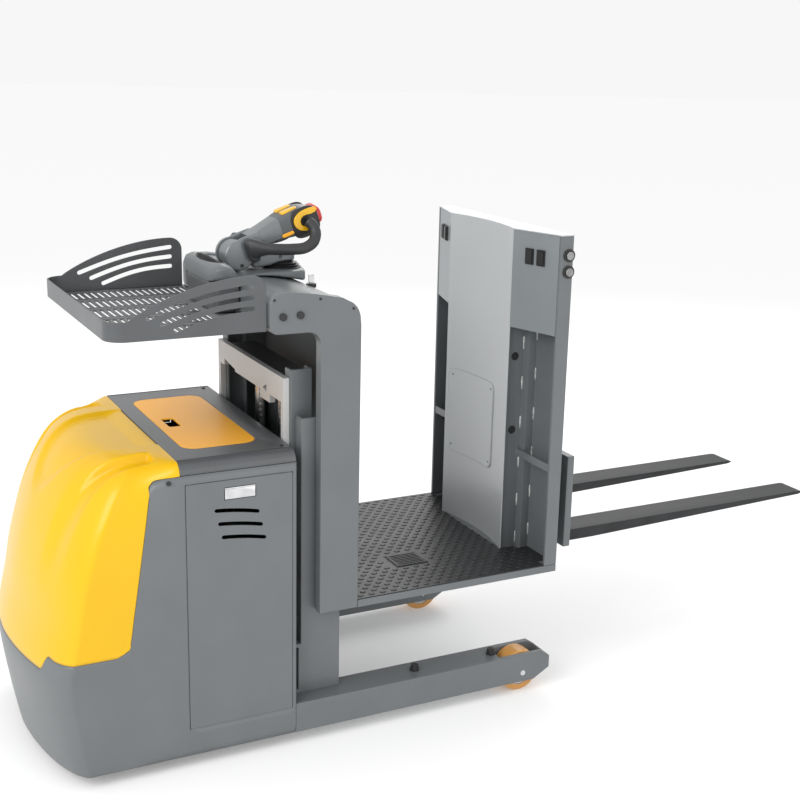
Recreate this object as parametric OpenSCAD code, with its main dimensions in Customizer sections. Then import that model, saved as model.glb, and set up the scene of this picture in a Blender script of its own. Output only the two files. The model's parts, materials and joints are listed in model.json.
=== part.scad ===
// Low-level order picker: electric truck with a lifting operator cabin and load forks.
// Millimetres. X runs from the rounded nose to the fork tips, Z is up, the floor is z = 0,
// and the origin is the middle of the overall box.

/* [Truck body] */
// Length of the body from the nose to its rear face
body_len = 779; // [740:1:900]
// Width of the body and across the support legs
body_w = 820; // [760:1:980]
// Height of the top cover above the floor
body_h = 942; // [900:1:1040]
// Height of the lower edge of the skirt
skirt_z = 41; // [30:1:60]
// Wall of the body shells
shell_t = 5; // [3:0.5:8]
// Thickness of the top cover
cap_t = 35; // [25:1:50]
// Depth of the curved nose in plan
nose_depth = 113; // [80:1:140]
// Height of the foremost point of the nose
nose_z = 337; // [280:1:380]
// Height of the lower edge of the front hood
hood_z = 396; // [340:1:440]

/* [Side doors] */
// Distance from the body's rear face to the door's rear edge
door_inset = 12; // [8:1:30]
// Length of a side door
door_len = 319; // [260:1:330]
// Height of the door's lower edge
door_z = 128; // [115:1:160]
// Height of the door's upper edge
door_top = 878; // [840:1:890]

/* [Battery lid] */
// Length of the lid along the truck
lid_len = 226; // [200:1:240]
// Width of the lid
lid_w = 570; // [480:1:600]
// Thickness of the lid
lid_t = 6; // [4:0.5:9]

/* [Support legs] */
// Length of a leg behind the body
leg_len = 910; // [850:1:1000]
// Width of a leg
leg_w = 109; // [95:1:115]
// Top of a leg above the floor
leg_top = 137; // [125:1:150]
// Diameter of a load wheel
load_wheel_d = 142; // [110:1:150]
// Width of a load wheel
load_wheel_w = 62; // [50:1:70]
// Diameter of a load wheel axle
axle_d = 20; // [16:1:25]

/* [Drive] */
// Diameter of the drive wheel
drive_wheel_d = 230; // [200:1:250]
// Width of the drive wheel
drive_wheel_w = 75; // [60:1:85]

/* [Mast] */
// Outer width across the fixed mast rails
mast_w = 698; // [640:1:704]
// Depth of a fixed rail along the truck
rail_depth = 129; // [110:1:135]
// Height of the top of the fixed rails
mast_top = 1014; // [960:1:1018]
// Height of the inner rails' top with the cabin at rest
inner_top = 1150; // [1090:1:1160]
// Depth of an inner rail along the truck
inner_depth = 68; // [60:1:80]
// Pitch radius of the chain sheaves
sheave_r = 38; // [30:1:42]

/* [Cabin] */
// Overall width of the cabin
cabin_w = 792; // [740:1:860]
// Length of the cabin side at the platform
cabin_len = 843; // [760:1:950]
// Gap between the body and the cabin columns
cabin_gap = 82; // [78:1:100]
// Height of the platform's underside when the cabin is down
platform_low = 157; // [157:1:180]
// How far the cabin is raised in the rest pose
cabin_raise = 253; // [60:1:253]
// Thickness of the platform
platform_t = 24; // [18:1:30]
// Thickness of the floor mat
mat_t = 3; // [2:0.5:5]
// Thickness of a cabin side frame
side_t = 42; // [36:1:43]
// Width of a cabin column along the truck
column_w = 126; // [118:1:150]
// Height of the cabin side above the platform's underside
side_h = 989; // [960:1:1100]
// Forward reach of the arch beyond the column
arch_reach = 156; // [130:1:160]
// Height of the arch's underside above the platform's underside
arch_z = 869; // [866:1:880]

/* [Backrest] */
// Height of the backrest above the platform's underside
backrest_h = 1108; // [1000:1:1250]
// Depth of the backrest side posts
post_depth = 46; // [36:1:60]
// Half width of the middle panel
panel_half = 205; // [180:1:230]
// Depth of the middle box in front of the posts' rear face
panel_depth = 102; // [90:1:120]
// Hollow of the middle panel in plan
panel_hollow = 27; // [10:1:35]
// Height of the wings' lower edge above the platform's underside
wing_z = 790; // [700:1:850]

/* [Tray] */
// Length of the tray
tray_len = 464; // [400:1:470]
// Half width of the tray
tray_half = 386; // [350:1:386]
// Height of the tray's underside above the platform's underside
tray_z = 880; // [876:1:890]
// Height of the front lip
tray_lip = 50; // [35:1:70]
// Height of the side walls at the cabin
tray_wall = 161; // [140:1:180]
// Sheet thickness of the tray
tray_t = 4; // [3:0.5:5]
// Slots along one row of the tray floor
tray_slots = 15; // [8:1:15]

/* [Forks] */
// Length of a fork
fork_len = 1110; // [900:1:1300]
// Width of a fork
fork_w = 109; // [90:1:150]
// Overall width across the forks
fork_spread = 510; // [440:1:580]
// Thickness of a fork at its heel
fork_t = 39; // [34:1:45]
// Height of the forks' upper face in the rest pose
fork_top = 483; // [450:1:520]
// Gap between the cabin and the fork carriage
carriage_gap = 55; // [40:1:70]
// Thickness of the fork carriage plate
carriage_t = 26; // [20:1:30]

/* [Tiller] */
// Radius of the tilt hub
hub_r = 45; // [40:1:48]
// Length of the arm from the hub to the end of the head
arm_len = 290; // [260:1:320]
// Rise of the arm above the horizontal, in degrees
arm_rise = 20; // [15:1:35]
// Half width of the control head
head_half = 52; // [45:1:60]
// Diameter of the grip loops
grip_d = 34; // [28:1:40]

/* [Hidden] */

fit = 0.3;             // clearance between pieces that move
seam = 0.6;            // visible seam between covers
wall_t = 4;            // sheet of the cabin and the backrest
bore_fit = 0.05;       // radial clearance of a shaft in its bore
eps = 0.01;            // overshoot of a cut

// places along the truck
overall = body_len + cabin_gap + cabin_len + carriage_gap + carriage_t + fork_len;
nose_x = -overall/2;
rear_x = nose_x + body_len;
column_x = rear_x + cabin_gap;
cabin_end = column_x + cabin_len;
column_end = column_x + column_w;
arch_x = column_x - arch_reach;
carriage_x = cabin_end + carriage_gap;
fork_x = carriage_x + carriage_t;
half_w = body_w/2;
half_cabin = cabin_w/2;
inner_half = half_cabin - side_t;

// heights that move with the cabin
deck_z = platform_low + cabin_raise;
floor_z = deck_z + platform_t + mat_t;
side_top = deck_z + side_h;
arch_under = deck_z + arch_z;
backrest_top = deck_z + backrest_h - wall_t;
wing_under = deck_z + wing_z;
tray_under = deck_z + tray_z;

// body
cap_z = body_h - cap_t;
cap_len = 346;
cap_x = rear_x - cap_len;
cap_side_r = 34;
lid_x = rear_x - 293;
lid_corner = 45;
frame_t = 12;
bulkhead_t = 20;
bulkhead_h = 260;
mount_z = 293;
mount_t = 16;
drive_x = nose_x + 309;
swivel_d = 120;
battery_x = rear_x - 300;
door_x1 = rear_x - door_inset;
door_x0 = door_x1 - door_len;
door_t = 4;
latch_w = 91;
latch_h = 36;
latch_z = door_top - 24;
latch_x = door_x1 - 159;

// legs and wheels
leg_in = half_w - leg_w;
leg_end = rear_x + leg_len;
load_x = leg_end - 100;
load_z = load_wheel_d/2;
leg_mid = half_w - leg_w/2;
wheel_slot = load_wheel_w + 2*3;
buffer_h = platform_low - leg_top - fit;
buffer_x = [rear_x + 430, rear_x + 712];

// mast
mast_half = mast_w/2;
mast_x = rear_x + 40;
rail_w = 48;
rail_t = 10;
rail_in = mast_half - rail_w;
inner_x = rear_x + 27;
inner_out = rail_in - 2;
inner_w = 47;
inner_t = 8;
inner_bottom = 200;
beam_x = rear_x + 8;
beam_t = inner_x - beam_x;
beam_top = inner_top - 26;
beam_low = beam_top - 76;
beam_half = inner_out - 10;
sheave_x = inner_x + 52;
sheave_z = beam_top - 62;
sheave_w = 20;
chain_y = [-190, -20];
chain_w = 16;
chain_t = 7;
chain_low = 215;
cylinder_y = [-105, 95];
cylinder_x = sheave_x;
barrel_d = 50;
rod_d = 30;
barrel_top = 720;
foot_beam_t = 40;
guide_half = inner_out - inner_w - 12;

// cabin
wall_x = column_end - 4 - wall_t;
arch_r = 40;
post_x = cabin_end - post_depth;
panel_x = cabin_end - panel_depth;
recess_in = panel_half - 15;
recess_front = panel_x + wall_t + panel_hollow*(1 - pow((recess_in - wall_t)/panel_half, 2)) + 0.3;
recess_step = panel_half + 17;
recess_back = cabin_end - wall_t;
bar_z = deck_z + 343;
ram_x = cabin_end - 30;
ram_len = 466;
hatch_w = 280;
hatch_h = 300;
hatch_y = 50;
hatch_z = deck_z + 268;
pedal_x0 = column_x + 351;
pedal_len = 110;
pedal_y = -168;
pedal_w = 95;
tray_r = 40;
pod_x = arch_x - 80;
pod_len = 334;
pod_half = 153;
pod_top = side_top + 42;
stem_x = column_x + 33;
stem_r = 32;
stem_z = pod_top - 34;
key_x = column_x + 76;
key_y = -140;
key_z = side_top - 24;

// tiller, in the frame of its hub
hub_x = arch_x + 39;
hub_z = pod_top + 9;
hub_half = 50;
lug_half = 30;
pin_d = 16;
throttle_s = 228;
throttle_n = 24;
ring_r = 34;

// switches on the backrest
rocker_w = 32;
rocker_h = 50;
rocker_z = backrest_top - 76;
rocker_y = [272, 317];
rocker_recess = 3;
push_z = [backrest_top - 59, backrest_top - 110];
push_x = cabin_end - 17;
push_d = 26;
bezel_d = 40;
bezel_t = 5;

// ---------- shared shapes ----------

module block(x0, x1, y0, y1, z0, z1) {
    translate([x0, y0, z0]) cube([x1 - x0, y1 - y0, z1 - z0]);
}

module both_sides() {
    children();
    mirror([0, 1, 0]) children();
}

// cylinder along Y between two planes
module rod_y(d, x, z, y0, y1, fn = 48) {
    translate([x, y1, z]) rotate([90, 0, 0]) cylinder(d = d, h = y1 - y0, $fn = fn);
}

// outline in the XZ plane carried along Y between two planes
module side_plate(points, y0, y1) {
    translate([0, y1, 0]) rotate([90, 0, 0]) linear_extrude(y1 - y0) polygon(points);
}

// points on an arc
function arc(cx, cz, r, a0, a1, n = 8) =
    [for (i = [0:n]) let (a = a0 + (a1 - a0)*i/n) [cx + r*cos(a), cz + r*sin(a)]];

// plan of the nose: a flat curve that tightens into the two front corners, then sides
// that open from the nose's half width to the one at the back
function nose_plan(half, depth, front, back, half_back, n = 14) =
    let (mid = [back - 110, half_back - 0.15*(half_back - half)])
    concat([[back, -half_back], [mid[0], -mid[1]]],
           [for (i = [-n:n]) let (y = half*sin(90*i/n), u = abs(y)/half)
               [front + depth*(1 - pow(max(0, 1 - pow(u, 1.7)), 1/1.8)), y]],
           [[mid[0], mid[1]], [back, half_back]]);

// a polyline and its copy at a distance, joined into the outline of a bent sheet
function unit(v) = v/norm(v);
function side_of(p, i) =
    let (a = p[max(i - 1, 0)], b = p[i], c = p[min(i + 1, len(p) - 1)],
         d1 = i == 0 ? unit(c - b) : unit(b - a),
         d2 = i == len(p) - 1 ? d1 : unit(c - b),
         m = unit([-d1[1] - d2[1], d1[0] + d2[0]]))
    m/max(0.5, m*[-d2[1], d2[0]]);
function bent_sheet(p, t) =
    concat(p, [for (i = [len(p) - 1:-1:0]) p[i] + t*side_of(p, i)]);

// rectangle with round corners, centred
module round_rect(l, w, r) {
    square([l - 2*r, w], center = true);
    square([l, w - 2*r], center = true);
    for (sx = [-1, 1], sy = [-1, 1])
        translate([sx*(l/2 - r), sy*(w/2 - r)]) circle(r = r, $fn = 32);
}

// ---------- body ----------

// solid form of the body ahead of the top cover, drawn in by a wall thickness. Each slice
// above the foremost point has its share of the height up to the top, then how far the
// nose, its sides and the rear sides draw in
module body_form(wall) {
    crown = [[0, 0, 0, 0], [0.147, 11, 0, 0], [0.307, 22, 0, 0], [0.445, 39, 0, 0], [0.569, 61, 2, 0],
             [0.7, 89, 7, 0], [0.83, 123, 20, 0], [0.907, 155, 40, 0.5], [0.949, 185, 62, 2],
             [0.98, 235, 92, 11], [1, 300, 130, 36]];
    hull() {
        for (s = concat([[skirt_z, 45, 0, 0], [skirt_z + 109, 24, 0, 0]],
                        [for (c = crown) [nose_z + (body_h - nose_z)*c[0], c[1], c[2], c[3]]]))
            translate([0, 0, s[0] - (s[0] > hood_z ? wall : 0)])
                linear_extrude(0.1)
                    polygon(nose_plan(half_w - s[2] - wall, nose_depth, nose_x + s[1] + wall,
                                      cap_x - seam, half_w - s[3] - wall));
    }
}

// side view of the region that the hood covers
module hood_region(grow = 0) {
    side_plate([[nose_x - 50, hood_z - grow], [rear_x - 513, hood_z - grow + 4],
                [rear_x - 500 + grow, hood_z + 37], [rear_x - 488 + grow, hood_z + 109],
                [rear_x - 448 + grow, hood_z + 362], [rear_x - 428 + grow, hood_z + 477],
                [rear_x - 417 + grow, cap_z - 11 - grow], [cap_x, cap_z - grow],
                [cap_x, body_h + 60], [nose_x - 50, body_h + 60]],
               -body_w, body_w);
    block(nose_x - 50, nose_x + 130, -300 - grow, 300 + grow, hood_z - 38 - grow, hood_z + 1);
}

module body_skirt() color("slategray") {
    difference() {
        union() {
            difference() {
                intersection() {
                    body_form(0);
                    block(nose_x - 50, cap_x, -body_w, body_w, skirt_z, cap_z);
                }
                translate([0, 0, -eps]) body_form(shell_t);
            }
            both_sides() block(cap_x - seam - 1, rear_x, half_w - shell_t, half_w, skirt_z, cap_z);
            block(rear_x - shell_t, rear_x, -half_w, half_w, skirt_z + bulkhead_h, cap_z);
        }
        hood_region(seam);
        both_sides() block(door_x0 - 1.5, door_x1 + 1.5, half_w - shell_t - 1, half_w + 1,
                           door_z - fit, door_top + 1.5);
    }
}

module front_hood() color("gold") {
    intersection() {
        difference() {
            body_form(0);
            body_form(shell_t);
        }
        hood_region(0);
    }
}

module top_cover() color("dimgray") {
    difference() {
        union() {
            block(cap_x, rear_x, cap_side_r - half_w, half_w - cap_side_r, cap_z, body_h);
            both_sides() intersection() {
                translate([cap_x, half_w - cap_side_r, cap_z]) rotate([0, 90, 0])
                    cylinder(r = cap_side_r, h = cap_len, $fn = 64);
                block(cap_x, rear_x, half_w - cap_side_r, half_w, cap_z, body_h);
            }
        }
        translate([lid_x + lid_len/2, 0, body_h - lid_t])
            linear_extrude(lid_t + 1) round_rect(lid_len + 1, lid_w + 1, lid_corner);
        translate([lid_x + lid_len/2, 0, cap_z - 1])
            linear_extrude(cap_t) round_rect(lid_len - 24, lid_w - 24, lid_corner - 12);
        block(cap_x + 12, lid_x - 12, 40 - half_w, half_w - 40, cap_z - 1, body_h - 8);
        block(lid_x + lid_len + 12, rear_x - 12, 40 - half_w, half_w - 40, cap_z - 1, body_h - 8);
    }
}

module battery_lid() color("orange") {
    difference() {
        translate([lid_x + lid_len/2, 0, body_h - lid_t + 0.2])
            linear_extrude(lid_t - 0.2) round_rect(lid_len, lid_w, lid_corner);
        translate([lid_x + 48, 0, body_h - lid_t - 1])
            linear_extrude(lid_t + 2) round_rect(37, 94, 8);
    }
}

module side_door() {
    difference() {
        block(door_x0, door_x1, half_w - door_t, half_w, door_z, door_top);
        for (i = [0:2])
            block(door_x1 - 234 + 10*i, door_x1 - 103 + 10*i, half_w - door_t - 1, half_w + 1,
                  door_top - 92 - 41*i, door_top - 78 - 41*i);
        block(latch_x - latch_w/2 - 1, latch_x + latch_w/2 + 1, half_w - door_t - 1, half_w + 1,
              latch_z - latch_h + 2, latch_z + 3);
    }
}

module side_door_left() color("slategray") mirror([0, 1, 0]) side_door();
module side_door_right() color("slategray") side_door();

// paddle latch that swings out about its upper edge
module door_latch() {
    block(latch_x - latch_w/2, latch_x + latch_w/2, half_w - door_t, half_w - 1,
          latch_z - latch_h + 3, latch_z - 3);
    rod_x(5, half_w - 3, latch_z - 1, latch_x - latch_w/2 - 0.6, latch_x + latch_w/2 + 0.6);
    block(latch_x - latch_w/2, latch_x + latch_w/2, half_w - 4, half_w - 2, latch_z - 4, latch_z - 1);
}

// cylinder along X between two planes
module rod_x(d, y, z, x0, x1, fn = 32) {
    translate([x0, y, z]) rotate([0, 90, 0]) cylinder(d = d, h = x1 - x0, $fn = fn);
}

module door_latch_left() color("silver") mirror([0, 1, 0]) door_latch();
module door_latch_right() color("silver") door_latch();

module body_screws() color("black") {
    both_sides() translate([rear_x - 379, half_w - 1.5, cap_z - 16]) rotate([-90, 0, 0])
        cylinder(d = 14, h = 3.5, $fn = 24);
    both_sides() translate([rear_x - 24, half_w - 56, body_h]) cylinder(d = 12, h = 3, $fn = 24);
}

// ---------- chassis ----------

module chassis_frame() color("dimgray") {
    difference() {
        union() {
            both_sides() block(nose_x + 195, rear_x - bulkhead_t, half_w - 30, half_w - shell_t - 0.2,
                               skirt_z + 20, skirt_z + 76);
            both_sides() block(nose_x + 195, battery_x - 28, half_w - 42, half_w - 30,
                               skirt_z + 20, mount_z + mount_t);
            block(nose_x + 149, battery_x - 28, 30 - half_w, half_w - 30, mount_z, mount_z + mount_t);
            block(battery_x - 40, battery_x - 28, 30 - half_w, half_w - 30, skirt_z + 20, mount_z);
            block(battery_x - 28, rear_x - bulkhead_t, 30 - half_w, half_w - 30,
                  skirt_z + 20, skirt_z + 20 + frame_t);
            block(rear_x - bulkhead_t, rear_x, shell_t + 0.2 - half_w, half_w - shell_t - 0.2,
                  skirt_z, skirt_z + bulkhead_h);
        }
        translate([drive_x, 0, mount_z - 1]) cylinder(d = swivel_d + 2*bore_fit, h = mount_t + 2, $fn = 96);
    }
}

// one leg with its wheel pocket and axle bores
module leg() {
    difference() {
        side_plate([[rear_x, skirt_z], [leg_end - 60, skirt_z], [leg_end, skirt_z + 34],
                    [leg_end, leg_top - 20], [leg_end - 30, leg_top], [rear_x, leg_top]],
                   leg_in, half_w);
        block(load_x - load_wheel_d/2 - 12, load_x + load_wheel_d/2 + 12,
              leg_mid - wheel_slot/2, leg_mid + wheel_slot/2, skirt_z - 1, leg_top + 1);
        rod_y(axle_d + 2*bore_fit, load_x, load_z, leg_in - 1, half_w + 1);
    }
}

module support_legs() color("slategray") {
    both_sides() leg();
    block(mast_x + rail_depth - foot_beam_t - 20, mast_x + rail_depth - 20,
          -leg_in, leg_in, skirt_z, skirt_z + foot_beam_t);
    block(cylinder_x - 40, mast_x + rail_depth - foot_beam_t - 20, -150, 140,
          skirt_z, skirt_z + foot_beam_t/2);
}

module load_wheel_axles() color("silver") {
    both_sides() {
        rod_y(axle_d, load_x, load_z, leg_in + 2, half_w - 2);
        rod_y(axle_d + 8, load_x, load_z, leg_mid - wheel_slot/2, leg_mid - load_wheel_w/2 - fit);
    }
}

// tyre on a hub, around the axle
module load_wheel() {
    difference() {
        union() {
            rod_y(load_wheel_d, load_x, load_z, leg_mid - load_wheel_w/2, leg_mid + load_wheel_w/2, 96);
        }
        rod_y(axle_d + 2*bore_fit, load_x, load_z, 0, body_w);
        for (side = [-1, 1])
            rod_y(load_wheel_d - 44, load_x, load_z, leg_mid + side*(load_wheel_w/2 + 2) - 6,
                  leg_mid + side*(load_wheel_w/2 + 2) + 6, 64);
    }
}

module load_wheel_left() color("burlywood") mirror([0, 1, 0]) load_wheel();
module load_wheel_right() color("burlywood") load_wheel();

module leg_buffers() color("black") {
    both_sides() for (x = buffer_x) translate([x, leg_mid, leg_top]) {
        cylinder(d = 34, h = 6, $fn = 6);
        cylinder(d = 24, h = buffer_h, $fn = 32);
    }
}

module drive_wheel() color("burlywood") {
    difference() {
        rod_y(drive_wheel_d, drive_x, drive_wheel_d/2, -drive_wheel_w/2, drive_wheel_w/2, 96);
        rod_y(40 + 2*bore_fit, drive_x, drive_wheel_d/2, -drive_wheel_w, drive_wheel_w);
    }
}

// gearbox leg with the axle, swivel collar and upright motor
module drive_unit() color("black") {
    rod_y(40, drive_x, drive_wheel_d/2, -drive_wheel_w/2 - 4, drive_wheel_w/2 + 20);
    block(drive_x - 62, drive_x + 62, drive_wheel_w/2 + 6, drive_wheel_w/2 + 42,
          drive_wheel_d/2 - 60, mount_z - 20);
    translate([drive_x, 0, mount_z - 42]) cylinder(d = 200, h = 40, $fn = 64);
    translate([drive_x, 0, mount_z - 4]) cylinder(d = swivel_d, h = mount_t + 8, $fn = 96);
    translate([drive_x, 0, mount_z + mount_t + fit]) cylinder(d = 168, h = 210, $fn = 64);
    translate([drive_x, 0, mount_z + mount_t + 210]) cylinder(d = 130, h = 40, $fn = 64);
}

module battery_pack() color("darkslategray") {
    block(battery_x, rear_x - bulkhead_t - 30, -290, 290, skirt_z + 20 + frame_t, skirt_z + 660);
    for (x = [battery_x + 60, battery_x + 180], y = [-200, 200])
        translate([x, y, skirt_z + 660]) cylinder(d = 26, h = 18, $fn = 24);
}

// pump motor on its oil tank, and the finned motor controller, on the mounting plate
module power_unit() color("dimgray") {
    base = mount_z + mount_t;
    block(drive_x - 60, drive_x + 90, -330, -150, base, base + 120);
    translate([drive_x + 15, -240, base + 120]) cylinder(d = 110, h = 150, $fn = 64);
    block(drive_x - 60, drive_x + 90, 150, 330, base, base + 70);
    for (i = [0:6])
        block(drive_x - 60 + 22*i, drive_x - 52 + 22*i, 150, 330, base + 70, base + 92);
}

// ---------- mast ----------

// channel that opens towards the middle of the truck
module channel(x0, x1, y_in, y_out, z0, z1, t) {
    difference() {
        block(x0, x1, y_in, y_out, z0, z1);
        block(x0 + t, x1 - t, y_in - 1, y_out - t, z0 - 1, z1 + 1);
    }
}

module mast_rails() color("gray") {
    both_sides() {
        channel(mast_x, mast_x + rail_depth, rail_in, mast_half, leg_top, mast_top, rail_t);
        difference() {
            block(rear_x, mast_x, rail_in, mast_half, leg_top, skirt_z + bulkhead_h);
            block(rear_x + 8, mast_x - 8, rail_in - 1, mast_half + 1, leg_top + 12, skirt_z + bulkhead_h - 12);
        }
    }
}

module inner_rails() color("gray") {
    both_sides() {
        channel(inner_x, inner_x + inner_depth, inner_out - inner_w, inner_out,
                inner_bottom, inner_top, inner_t);
        for (z = [300, 480])
            block(mast_x + rail_t + fit, inner_x + inner_depth, inner_out, mast_half - rail_t - fit,
                  z, z + 60);
    }
    block(beam_x, inner_x, -inner_out, inner_out, inner_bottom + 20, inner_bottom + 100);
}

// light front plate with its cut-outs, top bridge and side legs
module inner_crossbeam() color("gainsboro") {
    difference() {
        union() {
            block(beam_x, inner_x, -beam_half, beam_half, beam_low, beam_top);
            block(beam_x, inner_x, -176, -96, beam_low - 26, beam_low);
            both_sides() block(beam_x, inner_x, beam_half - 22, beam_half, beam_low - 420, beam_top);
            block(inner_x, sheave_x + 34, 12 - guide_half + 3, guide_half - 12 - 3, beam_top - 12, beam_top - 2);
        }
        side_cut(beam_x - 1, inner_x + 1,
                 [[130, beam_low - 1], [229, beam_low - 1], [229, beam_low + 22], [130, beam_low + 8]]);
        side_cut(beam_x - 1, inner_x + 1,
                 [[-150, beam_low + 2], [-150, beam_low + 26], [-118, beam_low + 10]]);
    }
    for (y = chain_y) {
        rod_y(20, sheave_x, sheave_z, y - 19, y + 19);
        for (side = [-1, 1])
            block(sheave_x - 14, sheave_x + 14, y + side*15.5 - 3.5, y + side*15.5 + 3.5,
                  sheave_z - 18, beam_top - 12);
    }
}

// outline in the YZ plane carried along X between two planes
module side_cut(x0, x1, points) {
    translate([x0, 0, 0]) rotate([90, 0, 90]) linear_extrude(x1 - x0) polygon(points);
}

module chain_sheaves() color("dimgray") {
    for (y = chain_y) difference() {
        union() {
            rod_y(2*sheave_r - chain_t, sheave_x, sheave_z, y - sheave_w/2, y + sheave_w/2, 64);
            rod_y(2*sheave_r + 6, sheave_x, sheave_z, y - sheave_w/2, y - sheave_w/2 + 1.5, 64);
            rod_y(2*sheave_r + 6, sheave_x, sheave_z, y + sheave_w/2 - 1.5, y + sheave_w/2, 64);
        }
        rod_y(20 + 2*bore_fit, sheave_x, sheave_z, -400, 400);
    }
}

// each chain passes over its sheave with one strand down in front and one behind
module lift_chains() color("silver") {
    for (y = chain_y) {
        difference() {
            rod_y(2*sheave_r + chain_t, sheave_x, sheave_z, y - chain_w/2, y + chain_w/2, 64);
            rod_y(2*sheave_r - chain_t + 2*fit, sheave_x, sheave_z, y - chain_w, y + chain_w, 64);
            block(sheave_x - 100, sheave_x + 100, y - chain_w, y + chain_w, sheave_z - 100, sheave_z);
        }
        for (x = [sheave_x - sheave_r, sheave_x + sheave_r])
            block(x - chain_t/2 + fit, x + chain_t/2 - fit, y - chain_w/2, y + chain_w/2,
                  chain_low, sheave_z);
    }
}

module lift_cylinders() color("black") {
    for (y = cylinder_y) translate([cylinder_x, y, skirt_z + foot_beam_t/2]) difference() {
        cylinder(d = barrel_d, h = barrel_top - skirt_z - foot_beam_t/2, $fn = 64);
        translate([0, 0, 60]) cylinder(d = rod_d + 2*bore_fit, h = barrel_top, $fn = 64);
    }
}

module lift_rods() color("silver") {
    for (y = cylinder_y) translate([cylinder_x, y, skirt_z + foot_beam_t/2 + 190])
        cylinder(d = rod_d, h = beam_top - 12 - skirt_z - foot_beam_t/2 - 190, $fn = 64);
}

// ---------- cabin ----------

module cabin_side() {
    side_plate(concat(
        [[column_x, deck_z], [column_end, deck_z]],
        [[column_end, side_top - 110]],
        arc(column_end - 62, side_top - 92, 60, 8, 70, 6),
        [[column_x + 66, side_top - 26], [column_x - 5, side_top - 12], [arch_x + 80, side_top - 2]],
        arc(arch_x + 38, side_top - 40, 38, 90, 180, 6),
        arc(arch_x + 26, arch_under + 26, 26, 180, 255, 4),
        [[arch_x + 40, arch_under]],
        arc(column_x - arch_r, arch_under - arch_r, arch_r, 90, 0, 6)),
        inner_half, half_cabin);
}

module cabin_column_left() color("slategray") mirror([0, 1, 0]) cabin_side();
module cabin_column_right() color("slategray") cabin_side();

// plates behind the front panel that carry the slide pads in the inner rails
module carriage_frame() color("dimgray") {
    both_sides() {
        block(inner_x + 14, wall_x, guide_half - 12, guide_half, deck_z + 30, deck_z + 300);
        for (z = [deck_z + 30, deck_z + 230])
            block(inner_x + inner_t + fit, inner_x + inner_depth - inner_t - fit,
                  guide_half, inner_out - inner_t - fit, z, z + 60);
    }
}

module platform_deck() color("slategray") {
    block(column_end, cabin_end - wall_t, -half_cabin, half_cabin, deck_z, deck_z + platform_t);
    block(cabin_end - wall_t, cabin_end, -half_cabin, -110, deck_z, deck_z + platform_t);
    block(cabin_end - wall_t, cabin_end, 110, half_cabin, deck_z, deck_z + platform_t);
    block(wall_x, column_end, -inner_half, inner_half, deck_z, deck_z + platform_t);
}

module floor_mat() color("black") {
    difference() {
        union() {
            block(column_end, post_x, -half_cabin + 3, half_cabin - 3, floor_z - mat_t, floor_z);
            block(wall_x + wall_t, column_end, -inner_half, inner_half, floor_z - mat_t, floor_z);
            both_sides() block(post_x, recess_back, recess_step + wall_t, inner_half - 3,
                               floor_z - mat_t, floor_z);
        }
        block(panel_x, cabin_end, -recess_in - wall_t, recess_in + wall_t, deck_z, floor_z + 1);
        both_sides() block(post_x, cabin_end, 0, recess_step + wall_t, deck_z, floor_z + 1);
        both_sides() block(panel_x - 3, cabin_end, recess_in - 2, panel_half, deck_z, floor_z + 1);
        block(pedal_x0 - 3, pedal_x0 + pedal_len + 3, pedal_y - pedal_w/2 - 3,
              pedal_y + pedal_w/2 + 3, deck_z, floor_z + 1);
    }
}

// bent sheet: front face, dashboard top, knee slope and wall down to the platform
module front_panel() color("slategray") difference() {
    side_plate(bent_sheet(concat(
        [[wall_x + wall_t, deck_z + platform_t], [wall_x + wall_t, side_top - 108]],
        arc(column_end - 68, side_top - 96, 60, 8, 66, 5),
        [[column_x + 62, side_top - 32], [column_x - 8, side_top - 18], [arch_x + 80, side_top - 8]],
        arc(arch_x + 46, side_top - 44, 36, 92, 175, 5),
        [[arch_x + 10, arch_under + 20]]), wall_t), -inner_half, inner_half);
    translate([stem_x, 0, side_top - 100]) cylinder(r = 28, h = 200, $fn = 64);
    translate([key_x, key_y, side_top - 100]) cylinder(d = 30 + 2*bore_fit, h = 200, $fn = 48);
}

module console_pod() color("gray") {
    difference() {
        union() {
            block(pod_x, arch_x + 9.7, -pod_half, pod_half, tray_under + tray_t, side_top - 46);
            side_plate([[pod_x, side_top - 46], [arch_x + 9.7, side_top - 46], [arch_x + 9.7, side_top - 7.7],
                        [pod_x + pod_len, side_top - 7.7], [pod_x + pod_len, side_top + 2],
                        [hub_x - hub_r + 10, side_top + 4], [pod_x + 66, pod_top - 8], [pod_x + 52, pod_top],
                        [pod_x + 16, pod_top], [pod_x, pod_top - 24]], -pod_half + 12, pod_half - 12);
        }
        block(pod_x + 22, pod_x + 76, -pod_half + 36, pod_half - 36, pod_top - 50, pod_top + 1);
        block(arch_x + 9.7, pod_x + 400, -pod_half, pod_half, side_top - 60, side_top - 7.7);
        both_sides() block(arch_x + 40, pod_x + 400, 112, pod_half, side_top - 60, pod_top + 1);
        translate([stem_x, 0, 0]) cylinder(r = 26 + bore_fit, h = pod_top + 100, $fn = 64);
    }
    difference() {
        translate([stem_x, 0, side_top]) cylinder(r = 62, h = stem_z - side_top - fit, $fn = 64);
        translate([stem_x, 0, side_top - 50]) cylinder(r = 26 + bore_fit, h = 200, $fn = 64);
        block(pod_x + pod_len, pod_x + 600, -200, 200, 0, 3000);
    }
}

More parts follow.
